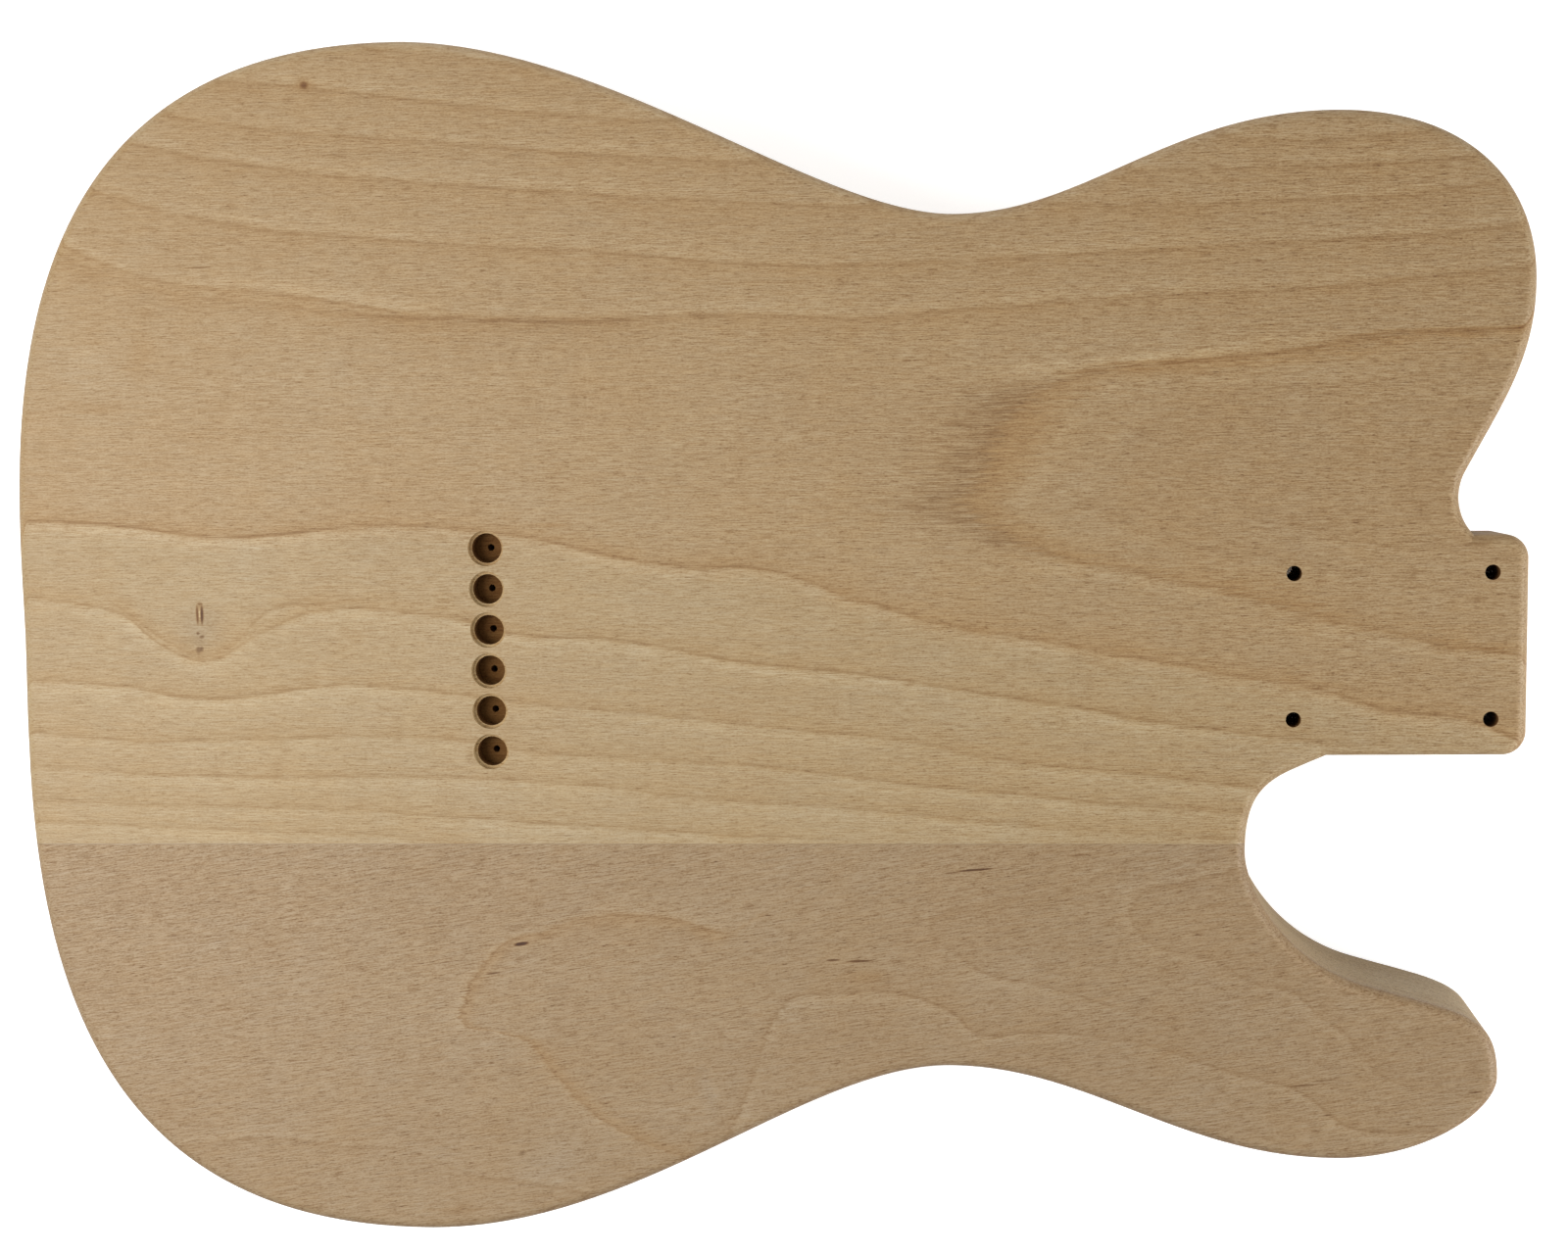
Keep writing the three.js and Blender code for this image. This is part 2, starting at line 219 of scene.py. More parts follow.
# How far each curve pulls towards the headings at its two ends, as shares of its length
TAIL_SHARES = (0.23, 0.61)
LOWER_SHARES = (0.355, 0.229)
TREBLE_LOWER_SHARES = (0.257, 0.381)
UPPER_SHARES = (0.339, 0.426)
TREBLE_UPPER_SHARES = (0.389, 0.35)
SHOULDER_SHARES = (0.488, 0.381)
SHOULDER_FALL_SHARES = (0.38, 0.38)
THROAT_SHARES = (0.42, 0.573)
HORN_WALL_SHARES = (0.194, 0.48)
HORN_TIP_SHARES = (0.63, 0.41)
HORN_BELLY_SHARES = (0.182, 0.512)
TO_NECK, TO_BASS, TO_TAIL, TO_TREBLE = 0.0, math.pi / 2, math.pi, -math.pi / 2
SHORTEST_END = 0.05 * MM
SHORTEST_STEP = 0.02 * MM


def heading(angle):
    return Vector((math.cos(angle), math.sin(angle)))


def sweep(start, leaving, end, arriving, shares):
    """Curve that leaves one station and reaches the next in the headings given"""
    span = (end - start).length
    first = start + heading(leaving) * shares[0] * span
    second = end - heading(arriving) * shares[1] * span

    def at(t):
        u = 1 - t
        return start * u ** 3 + first * 3 * u * u * t + second * 3 * u * t * t + end * t ** 3
    return at


def arc(centre, radius, start, end):
    return lambda t: centre + heading(start + (end - start) * t) * radius


def straight(start, end):
    return lambda t: start.lerp(end, t)


def notch_place(s):
    """Centre of the bass-side notch, and how far its arc runs on past the tail side"""
    centre = Vector((s.heel_reach - s.notch_from_heel + s.notch_radius, s.tongue_width / 2 + s.notch_from_tongue))
    return centre, math.asin(min(1.0, s.notch_from_tongue / s.notch_radius))


def outline_stretches(s):
    """Clockwise as seen from the back, from the tail round the bass side"""
    half = s.tongue_width / 2
    heel = s.heel_reach
    tail = Vector((-s.tail_reach, s.tail_apex_offset))
    bass_lower = Vector((-s.lower_bout_back, s.lower_bout_half))
    bass_waist = Vector((s.bass_waist_ahead, s.waist_half))
    bass_upper = Vector((heel - s.bass_bout_from_heel, s.upper_bout_half))
    shoulder = Vector((heel + s.shoulder_past_heel, s.shoulder_offset))
    notch, notch_drop = notch_place(s)
    notch_top = notch + heading(TO_TAIL - s.notch_turn) * s.notch_radius
    root = Vector((heel - s.cutaway_root_from_heel, -half))
    throat = Vector((heel - s.cutaway_from_heel, -half - s.cutaway_from_tongue))
    horn_wall = Vector((heel - s.horn_wall_from_heel, s.horn_wall_from_bout - s.upper_bout_half))
    horn_tip = Vector((heel - s.horn_tip_from_heel, s.horn_tip_inset - s.upper_bout_half))
    treble_upper = Vector((heel - s.treble_bout_from_heel, -s.upper_bout_half))
    treble_waist = Vector((s.treble_waist_ahead, -s.waist_half))
    treble_lower = Vector((-s.lower_bout_back, -s.lower_bout_half))
    ease = s.edge_radius + s.heel_corner_ease
    bass_corner = Vector((heel - ease, half - ease))
    treble_corner = Vector((heel - ease, ease - half))
    notch_end = notch + heading(TO_TAIL + notch_drop) * s.notch_radius
    return [
        sweep(tail, TO_BASS, bass_lower, TO_NECK, TAIL_SHARES),
        sweep(bass_lower, TO_NECK, bass_waist, TO_NECK, LOWER_SHARES),
        sweep(bass_waist, TO_NECK, bass_upper, TO_NECK, UPPER_SHARES),
        sweep(bass_upper, TO_NECK, shoulder, TO_TREBLE, SHOULDER_SHARES),
        sweep(shoulder, TO_TREBLE, notch_top, TO_TREBLE - s.notch_turn, SHOULDER_FALL_SHARES),
        arc(notch, s.notch_radius, TO_TAIL - s.notch_turn, TO_TAIL + notch_drop),
        straight(notch_end, bass_corner + Vector((0, ease))),
        arc(bass_corner, ease, TO_BASS, TO_NECK),
        straight(bass_corner + Vector((ease, 0)), treble_corner + Vector((ease, 0))),
        arc(treble_corner, ease, TO_NECK, TO_TREBLE),
        straight(treble_corner - Vector((0, ease)), root),
        sweep(root, TO_TAIL + s.cutaway_root_turn, throat, TO_TREBLE, THROAT_SHARES),
        sweep(throat, TO_TREBLE, horn_wall, -s.horn_wall_turn, HORN_WALL_SHARES),
        sweep(horn_wall, -s.horn_wall_turn, horn_tip, TO_TREBLE, HORN_TIP_SHARES),
        sweep(horn_tip, TO_TREBLE, treble_upper, TO_TAIL, HORN_BELLY_SHARES),
        sweep(treble_upper, TO_TAIL, treble_waist, TO_TAIL, TREBLE_UPPER_SHARES),
        sweep(treble_waist, TO_TAIL, treble_lower, TO_TAIL, TREBLE_LOWER_SHARES),
        sweep(treble_lower, TO_TAIL, tail, TO_BASS, TAIL_SHARES[::-1]),
    ]


def points_along(at, probes=600, turned_most=math.radians(1.5), travelled_most=5 * MM):
    """Points of one stretch, closer together where it turns; the far end belongs to the next stretch"""
    points, last = [at(0.0)], at(0.0)
    facing = turned = travelled = 0.0
    for i in range(1, probes):
        here = at(i / probes)
        step = here - last
        now = math.atan2(step.y, step.x)
        if i > 1:
            turned += abs(math.remainder(now - facing, math.tau))
        travelled += step.length
        facing, last = now, here
        if turned >= turned_most or travelled >= travelled_most:
            points.append(here)
            turned = travelled = 0.0
    if len(points) > 1 and (at(1.0) - points[-1]).length < SHORTEST_END:
        points.pop()
    return points


def outline(s):
    """The whole outline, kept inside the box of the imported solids"""
    low, high = Vector(CAD_BOX[0]), Vector(CAD_BOX[1])
    loop = [point for stretch in outline_stretches(s) for point in points_along(stretch)]
    loop = [Vector((min(max(p.x, low.x), high.x), min(max(p.y, low.y), high.y))) for p in loop]
    return [p for i, p in enumerate(loop) if (p - loop[i - 1]).length > SHORTEST_STEP]


def inset(loop, distance):
    """The loop moved into the wood, with mitred corners; the loop runs clockwise"""
    moved = []
    for i, point in enumerate(loop):
        before = (point - loop[i - 1]).normalized()
        after = (loop[(i + 1) % len(loop)] - point).normalized()
        inward = Vector((before.y + after.y, -before.x - after.x)) / (1 + before.dot(after))
        moved.append(point + inward * distance)
    return moved


# ------------------------------------------------------------------ solids

CORNER_STEPS = 8
OVERRUN = 6 * MM  # how far a cut starts outside the wood
HAIR = 0.05 * MM  # tells a step of a hole from the wall below it
NEARLY = 0.999  # keeps the straight end between two round corners from having no length
RAG = 0.5  # how far the bites of wood reach into a string hole
BITES = 2.2  # how close together they are round it
PAST = 30 * MM  # how far a board's slab reaches past the outline
MERGED = 1e-6  # corners of the cut mesh that are as near as this become one
SHARP_FROM = math.radians(28)


def placeholder(name):
    return bpy.data.materials.get(name) or bpy.data.materials.new(name)


def stack(name, rings, material):
    """Closed solid from rings of places, all with as many points"""
    mesh = bpy.data.meshes.new(name)
    bm = bmesh.new()
    rows = [[bm.verts.new(place) for place in ring] for ring in rings]
    for low, high in zip(rows, rows[1:]):
        for i in range(len(low)):
            bm.faces.new((low[i - 1], low[i], high[i], high[i - 1]))
    bm.faces.new(rows[0])
    bm.faces.new(rows[-1])
    bmesh.ops.recalc_face_normals(bm, faces=bm.faces)
    bm.to_mesh(mesh)
    bm.free()
    mesh.materials.append(placeholder(material))
    thing = bpy.data.objects.new(name, mesh)
    bpy.context.scene.collection.objects.link(thing)
    return thing


def block(name, low, high, material):
    """Box between two corners"""
    (x0, y0, z0), (x1, y1, z1) = low, high
    return stack(name, [[(x0, y0, z), (x1, y0, z), (x1, y1, z), (x0, y1, z)] for z in (z0, z1)], material)


def rounded_blank(s):
    loop = outline(s)
    rings = []
    for k in range(CORNER_STEPS + 1):
        angle = math.pi / 2 * k / CORNER_STEPS
        ring = inset(loop, s.edge_radius * (1 - math.sin(angle)))
        rings.append([(p.x, p.y, s.edge_radius * (1 - math.cos(angle))) for p in ring])
    rings += [[(x, y, s.thickness - z) for x, y, z in ring] for ring in reversed(rings)]
    blank = stack("blank", rings, FACE)
    for material in (ROUTED, BORED, SEAT):
        blank.data.materials.append(placeholder(material))
    return blank


def rounded_corner(x, y, radius, quarter):
    """Quarter circle of points round a centre, counted from the neck side by way of the bass side"""
    return [Vector((x, y)) + heading(math.pi / 2 * (quarter + k / CORNER_STEPS)) * radius
            for k in range(CORNER_STEPS + 1)]


def rounded_rectangle(long, wide, radius):
    x, y = long / 2 - radius, wide / 2 - radius
    return [point for quarter, (sx, sy) in enumerate(((1, 1), (-1, 1), (-1, -1), (1, -1)))
            for point in rounded_corner(sx * x, sy * y, radius, quarter)]


def routed(name, grown, depth, x, y, turned, ease):
    """Router cut from the front face; grown gives its outline, made wider by a distance"""
    spin = Matrix.Rotation(turned, 2)
    rings = []
    for height, wider in ((-OVERRUN, ease), (0.0, ease), (ease, 0.0), (depth, 0.0)):
        ring = [spin @ p for p in grown(wider)]
        rings.append([(p.x + x, p.y + y, height) for p in ring])
    return stack(name, rings, ROUTED)


def bored(name, profile, start, end, facets=48):
    """Turned cut along a line; the profile holds (distance from the start, radius)"""
    run = end - start
    across = run.orthogonal().normalized()
    beside = run.normalized().cross(across)
    rings = []
    for distance, radius in profile:
        centre = start + run.normalized() * distance
        rings.append([centre + (across * math.cos(a) + beside * math.sin(a)) * radius
                      for a in (math.tau * k / facets for k in range(facets))])
    return stack(name, rings, BORED)


def cut(thing, tool, operation="DIFFERENCE"):
    """Boolean that is applied at once, so that the mesh holds the result"""
    modifier = thing.modifiers.new("cut", "BOOLEAN")
    modifier.operation = operation
    modifier.object = tool
    modifier.solver = "EXACT"
    modifier.material_mode = "TRANSFER"
    settle(thing)
    bpy.data.objects.remove(tool)


def settle(thing):
    """The evaluated mesh takes the place of the object's own, and its modifiers go"""
    shape = bpy.data.meshes.new_from_object(thing.evaluated_get(bpy.context.evaluated_depsgraph_get()))
    old = thing.data
    thing.modifiers.clear()
    thing.data = shape
    bpy.data.meshes.remove(old)


# ------------------------------------------------------------------ nodes

class Value:
    """Socket of one tree; sums, products and quotients of values make the nodes for them"""

    def __init__(self, wiring, socket):
        self.wiring, self.socket = wiring, socket

    def into(self, operation, *others):
        kind = self.wiring.maths if self.socket.type == "VALUE" else self.wiring.vector
        return kind(operation, self, *others)

    def __add__(self, other):
        return self.into("ADD", other)

    def __sub__(self, other):
        return self.into("SUBTRACT", other)

    def __rsub__(self, other):
        return self.wiring.maths("SUBTRACT", other, self)

    def __mul__(self, other):
        return self.into("MULTIPLY", other)

    def __truediv__(self, other):
        return self.into("DIVIDE", other)

    def __neg__(self):
        return self * -1.0

    def __abs__(self):
        return self.into("ABSOLUTE")

    def root(self):
        return self.into("SQRT")

    def clip(self, low, high):
        return self.into("MINIMUM", high).into("MAXIMUM", low)

    def length(self):
        """How long a vector is"""
        made = self.wiring.node("ShaderNodeVectorMath", (self,), operation="LENGTH")
        return Value(self.wiring, made.outputs["Value"])

    def stretch(self, low, high, to_low=0.0, to_high=1.0, smooth=False):
        made = self.wiring.node("ShaderNodeMapRange", {
            "Value": self, "From Min": low, "From Max": high, "To Min": to_low, "To Max": to_high},
            interpolation_type="SMOOTHSTEP" if smooth else "LINEAR")
        return Value(self.wiring, made.outputs[0])

    def curve(self, points, low, high, bottom, top):
        """Smooth line through (place, amount) points, both in their own units"""
        made = self.wiring.node("ShaderNodeFloatCurve", {"Value": (self - low) / (high - low)})
        mapping = made.mapping
        mapping.use_clip = False
        mapping.extend = "EXTRAPOLATED"
        line = mapping.curves[0]
        places = [((a - low) / (high - low), (b - bottom) / (top - bottom)) for a, b in sorted(points)]
        while len(line.points) < len(places):
            line.points.new(0.5, 0.5)
        for point, place in zip(line.points, places):
            point.location = place
            point.handle_type = "AUTO"
        mapping.update()
        return Value(self.wiring, made.outputs[0]) * (top - bottom) + bottom


def total(values):
    return sum(values[1:], values[0])


class Wiring:
    """Short calls for the nodes of one tree"""

    def __init__(self, tree):
        self.tree, self.nodes = tree, tree.nodes

    def feed(self, socket, value):
        if isinstance(value, Value):
            value = value.socket
        if isinstance(value, bpy.types.NodeSocket):
            self.tree.links.new(value, socket)
        elif value is not None:
            socket.default_value = value

    def node(self, kind, inputs=(), **settings):
        made = self.nodes.new(kind)
        for key, value in settings.items():
            setattr(made, key, value)
        for key, value in (inputs.items() if isinstance(inputs, dict) else enumerate(inputs)):
            self.feed(made.inputs[key], value)
        return made

    def value(self, kind, inputs=(), output=0, **settings):
        return Value(self, self.node(kind, inputs, **settings).outputs[output])

    def maths(self, operation, *values):
        return self.value("ShaderNodeMath", values, operation=operation)

    def vector(self, operation, *values):
        return self.value("ShaderNodeVectorMath", values, operation=operation)

    def combine(self, x, y, z):
        return self.value("ShaderNodeCombineXYZ", (x, y, z))

    def separate(self, vector):
        made = self.node("ShaderNodeSeparateXYZ", (vector,))
        return [Value(self, socket) for socket in made.outputs]

    def turned(self, vector, angle):
        """The vector turned round the upright axis"""
        return self.value("ShaderNodeVectorRotate", {"Vector": vector, "Angle": angle}, rotation_type="Z_AXIS")

    def noise(self, place, detail=2.0, roughness=0.6):
        return self.value("ShaderNodeTexNoise", {
            "Vector": place, "Scale": 1.0, "Detail": detail, "Roughness": roughness}, "Fac", noise_dimensions="3D")

    def mix(self, factor, first, second):
        """Number between two numbers"""
        return self.value("ShaderNodeMix", {0: factor, 2: first, 3: second})

    def mix_colours(self, factor, first, second):
        """Colour between two colours, each a value or red, green and blue"""
        first, second = ((*each, 1.0) if isinstance(each, tuple) else each for each in (first, second))
        return self.value("ShaderNodeMix", {0: factor, 6: first, 7: second}, 2, data_type="RGBA")

    def group(self, tree, **inputs):
        made = self.node("ShaderNodeGroup", inputs, node_tree=tree)
        return [Value(self, socket) for socket in made.outputs]

    def given(self):
        """The values that come into the tree, by name"""
        return {socket.name: Value(self, socket) for socket in self.nodes.new("NodeGroupInput").outputs}


# ------------------------------------------------------------------ holes that repeat

def run_tree(tree, values):
    """Plain mesh object from a geometry tree, with the inputs set by identifier"""
    thing = bpy.data.objects.new(tree.name, bpy.data.meshes.new(tree.name))
    bpy.context.scene.collection.objects.link(thing)
    modifier = thing.modifiers.new(tree.name, "NODES")
    modifier.node_group = tree
    for item in tree.interface.items_tree:
        if item.in_out == "INPUT" and item.name in values:
            modifier[item.identifier] = values[item.name]
    settle(thing)
    return thing


def ragged_hole(w, mesh, rag):
    """The cylinder with bites of wood left standing in it"""
    place = w.value("GeometryNodeInputPosition")
    bites = w.noise((place * (1.0, 1.0, 0.0)).into("NORMALIZE") * (BITES, BITES, 0.0), 2.0, 0.7)
    left = 1.0 - rag * bites
    narrow = place * w.combine(left, left, 1.0)
    return w.value("GeometryNodeSetPosition", {"Geometry": mesh, "Position": narrow})


def hole_tree(name, lengths, counts, steps, facets, grid):
    """Tree for like drilled holes: one cut, stacked from cylinders, placed on a grid of places"""
    tree = bpy.data.node_groups.new(name, "GeometryNodeTree")
    for kind, labels in (("Float", (*lengths, "Rag", "Shallow from")), ("Int", (*counts, "Seed")),
                         ("Material", ("Material", "Shallow material"))):
        for label in labels:
            tree.interface.new_socket(label, in_out="INPUT", socket_type="NodeSocket" + kind)
    tree.interface.new_socket("Geometry", in_out="OUTPUT", socket_type="NodeSocketGeometry")
    w = Wiring(tree)
    given = w.given()
    joined = None
    for low, high, diameter in steps:
        tall = given[high] - given[low]
        cylinder = w.value("GeometryNodeMeshCylinder", {
            "Vertices": facets, "Radius": given[diameter] * 0.5, "Depth": tall}, "Mesh")
        if joined is None:
            cylinder = ragged_hole(w, cylinder, given["Rag"])
        middle = w.combine(0.0, 0.0, given[low] + tall * 0.5)
        lifted = w.value("GeometryNodeTransform", {"Geometry": cylinder, "Translation": middle})
        if joined is None:
            joined = lifted
        else:
            union = w.node("GeometryNodeMeshBoolean", operation="UNION", solver="EXACT")
            w.feed(union.inputs[1], joined)
            w.feed(union.inputs[1], lifted)
            joined = Value(w, union.outputs[0])
    places = w.value("GeometryNodeMeshGrid", {key: given.get(value, value) for key, value in grid.items()}, "Mesh")
    spin = w.node("FunctionNodeRandomValue", {"Seed": given["Seed"]}, data_type="FLOAT")
    spin.inputs[3].default_value = math.tau
    spread = w.value("GeometryNodeInstanceOnPoints", {
        "Points": places, "Instance": joined, "Rotation": w.combine(0.0, 0.0, spin.outputs[1])})
    real = w.value("GeometryNodeRealizeInstances", (spread,))
    height = w.separate(w.value("GeometryNodeInputPosition"))[2]
    shallow = w.value("FunctionNodeCompare", (height, given["Shallow from"]),
                      data_type="FLOAT", operation="GREATER_THAN")
    dressed = w.value("GeometryNodeSetMaterial", {"Geometry": real, "Material": given["Material"]})
    dressed = w.value("GeometryNodeSetMaterial", {
        "Geometry": dressed, "Selection": shallow, "Material": given["Shallow material"]})
    w.node("NodeGroupOutput", (dressed,))
    return tree


def string_hole_cuts(s):
    """Row of stepped holes: right through, the ferrule's seat and its shallow rim"""
    tree = hole_tree(
        "string_holes", ("Bottom", "Top", "Seat floor", "Rim floor", "Hole", "Seat", "Rim", "Row"), ("Count",),
        (("Bottom", "Top", "Hole"), ("Seat floor", "Top", "Seat"), ("Rim floor", "Top", "Rim")), 64,
        {"Size X": 0.0, "Size Y": "Row", "Vertices X": 1, "Vertices Y": "Count"})
    top = s.thickness
    return run_tree(tree, {
        "Bottom": -OVERRUN, "Top": top + OVERRUN, "Seat floor": top - s.ferrule_seat_depth,
        "Rim floor": top - s.ferrule_rim_depth, "Hole": s.string_hole, "Seat": s.ferrule_seat,
        "Rim": s.ferrule_rim, "Row": s.string_pitch * (s.string_count - 1), "Count": s.string_count,
        "Rag": RAG, "Shallow from": top - s.ferrule_rim_depth - HAIR,
        "Material": placeholder(SEAT), "Shallow material": placeholder(ROUTED), "Seed": 5})


def bolt_hole_cuts(s):
    """Four neck screw holes, right through the heel"""
    tree = hole_tree(
        "bolt_holes", ("Bottom", "Top", "Hole", "Along", "Across"), (), (("Bottom", "Top", "Hole"),), 40,
        {"Size X": "Along", "Size Y": "Across", "Vertices X": 2, "Vertices Y": 2})
    holes = run_tree(tree, {
        "Bottom": -OVERRUN, "Top": s.thickness + OVERRUN, "Hole": s.bolt_hole,
        "Along": s.bolt_span_along, "Across": s.bolt_span_across, "Shallow from": 1.0,
        "Material": placeholder(SEAT), "Shallow material": placeholder(SEAT), "Seed": 8})
    holes.data.transform(Matrix.Translation((s.heel_reach - s.bolts_from_heel, 0, 0)))
    return holes


# ------------------------------------------------------------------ router and drill cuts

def neck_pocket_cuts(s):
    """Pocket open at the heel end and at both sides of the narrow heel"""
    reach, side = s.heel_reach + OVERRUN, s.pocket_width / 2
    corner = s.heel_reach - s.pocket_length + s.pocket_corner_radius

    def grown(wider):
        points = [Vector((reach, -side - wider)), Vector((reach, side + wider))]
        for quarter, sign in ((1, 1), (2, -1)):
            points += rounded_corner(corner, sign * (side - s.pocket_corner_radius), s.pocket_corner_radius + wider,
                                     quarter)
        return points

    past_heel = s.tongue_width / 2 + OVERRUN
    notch, drop = notch_place(s)
    bass_from = notch.x - s.notch_radius * math.cos(drop)
    treble_from = s.heel_reach - s.cutaway_root_from_heel
    return [
        routed("neck_pocket", grown, s.pocket_depth, 0, 0, 0, s.mouth_ease),
        block("bass_side", (bass_from, 0, -OVERRUN), (reach, past_heel, s.pocket_depth), ROUTED),
        block("treble_side", (treble_from, -past_heel, -OVERRUN), (reach, 0, s.pocket_depth), ROUTED),
    ]


def cavity_cuts(s):
    """Pickup cavities, wire trough and control cavity, all from the front"""
    pocket_end = s.heel_reach - s.pocket_length
    neck_x = pocket_end - s.neck_pickup_wall - s.neck_pickup_width / 2
    corner, ease = s.pickup_corner_radius, s.mouth_ease

    def shape(long, wide, radius):
        return lambda w: rounded_rectangle(long + 2 * w, wide + 2 * w, radius + w)

    inset_end = s.wire_trough_width / 2
    pickup_end = Vector((neck_x, inset_end - s.neck_pickup_length / 2))
    control_end = Vector((s.control_ahead + s.control_length / 2 - inset_end, -s.control_offset))
    run = control_end - pickup_end
    middle = (pickup_end + control_end) / 2
    return [
        routed("neck_pickup", shape(s.neck_pickup_length, s.neck_pickup_width, corner),
               s.neck_pickup_depth, neck_x, 0, math.pi / 2, ease),
        routed("bridge_pickup", shape(s.bridge_pickup_length, s.bridge_pickup_width, corner),
               s.bridge_pickup_depth, s.bridge_pickup_ahead, 0, math.pi / 2 - s.bridge_pickup_slant, ease),
        routed("wire_trough", shape(run.length + s.wire_trough_width, s.wire_trough_width, inset_end * NEARLY),
               s.neck_pickup_depth, middle.x, middle.y, math.atan2(run.y, run.x), ease),
        routed("controls", shape(s.control_length, s.control_width, s.control_corner_radius),
               s.thickness - s.control_floor, s.control_ahead, -s.control_offset, 0, ease),
    ]


def wire_hole_cut(s):
    slant = s.bridge_pickup_slant
    reach = s.bridge_pickup_length / 2 - s.wire_hole
    x = s.bridge_pickup_ahead - reach * math.sin(slant)
    start = Vector((x, -reach * math.cos(slant), s.bridge_pickup_depth / 2))
    end = Vector((x, -s.control_offset, s.thickness - s.control_floor - s.wire_hole))
    radius = s.wire_hole / 2
    return bored("wire_hole", ((0, radius), ((end - start).length, radius)), start, end)


def jack_cuts(s):
    """Bore square to the treble edge, and the narrower hole from its floor to the controls"""
    x = -s.jack_back
    loop = outline(s)
    far = next(i for i, p in enumerate(loop) if i and p.y < -s.waist_half and p.x <= x)
    a, b = loop[far - 1], loop[far]
    point = a.lerp(b, (a.x - x) / (a.x - b.x))
    along = (b - a).normalized()
    inward = Vector((along.y, -along.x))
    level = s.thickness / 2

    def raised(p):
        return Vector((p.x, p.y, level))

    outside, floor = point - inward * OVERRUN, point + inward * s.jack_bore_depth
    lead_start = floor - inward * OVERRUN
    lead_end = Vector((s.control_ahead - s.control_length / 2 + s.control_width / 2, -s.control_offset))
    deep, radius, lead = s.jack_bore_depth + OVERRUN, s.jack_bore / 2, s.jack_lead / 2
    return [
        bored("jack_bore", ((0, radius), (deep, radius)), raised(outside), raised(floor), 64),
        bored("jack_lead", ((0, lead), ((lead_end - lead_start).length, lead)),
              raised(lead_start), raised(lead_end)),
    ]


def finished_blank(s):
    """The blank with every cut made through both boards at once; kept for the pieces cut from it"""
    blank = bpy.data.objects.get("blank")
    if blank is None:
        blank = rounded_blank(s)
        cuts = neck_pocket_cuts(s) + cavity_cuts(s) + jack_cuts(s)
        cuts += [wire_hole_cut(s), string_hole_cuts(s), bolt_hole_cuts(s)]
        for tool in cuts:
            cut(blank, tool)
    return blank


def piece_between(s, name, low_y, high_y):
    """The part of the blank between two places across the body, smooth but for its real edges"""
    piece = finished_blank(s).copy()
    piece.data = piece.data.copy()
    piece.name = piece.data.name = name
    bpy.context.scene.collection.objects.link(piece)
    span, past = s.heel_reach + PAST, 10 * MM
    slab = block("slab", (-span, low_y, -past), (span, high_y, s.thickness + past), FACE)
    cut(piece, slab, "INTERSECT")
    bm = bmesh.new()
    bm.from_mesh(piece.data)
    bmesh.ops.remove_doubles(bm, verts=bm.verts, dist=MERGED)
    bmesh.ops.dissolve_degenerate(bm, edges=bm.edges, dist=MERGED / 10)
    bm.to_mesh(piece.data)
    bm.free()
    piece.data.polygons.foreach_set("use_smooth", [True] * len(piece.data.polygons))
    piece.data.set_sharp_from_angle(angle=SHARP_FROM)
    weighted = piece.modifiers.new("weighted", "WEIGHTED_NORMAL")
    weighted.keep_sharp = True
    weighted.weight = 90
    settle(piece)
    piece.data.name = name
    return piece


# ------------------------------------------------------------------ growth lines, read along the wood

# Places on the back in picture pixels. Each line has its strength and its points; on the treble board the
# side that is pale, 1.0 or -1.0, comes before them.
LINES_ABOVE = (
    (0.5, ((340, 47), (437, 58), (525, 67), (600, 80))),
    (0.6, ((230, 84), (326, 91), (459, 107), (684, 125), (900, 134), (1242, 139), (1311, 145), (1405, 139),
           (1474, 134))),
    (0.6, ((169, 116), (250, 130), (388, 142), (562, 155), (788, 166), (1155, 175), (1280, 172), (1517, 161))),
    (0.7, ((135, 148), (245, 168), (388, 184), (561, 196), (800, 209), (880, 212), (1074, 209), (1186, 211),
           (1342, 203), (1430, 199), (1533, 186))),
    (0.7, ((97, 194), (194, 222), (388, 245), (612, 258), (780, 270), (892, 270), (1080, 261), (1217, 253),
           (1342, 247), (1555, 231))),
    (0.8, ((64, 250), (150, 285), (230, 296), (290, 300), (380, 315), (440, 322), (560, 325), (780, 322),
           (892, 325), (942, 319), (1092, 309), (1217, 300), (1342, 294), (1467, 281), (1561, 275))),
    (0.4, ((64, 262), (110, 280), (150, 294), (230, 306), (290, 311), (380, 323), (420, 327))),
)
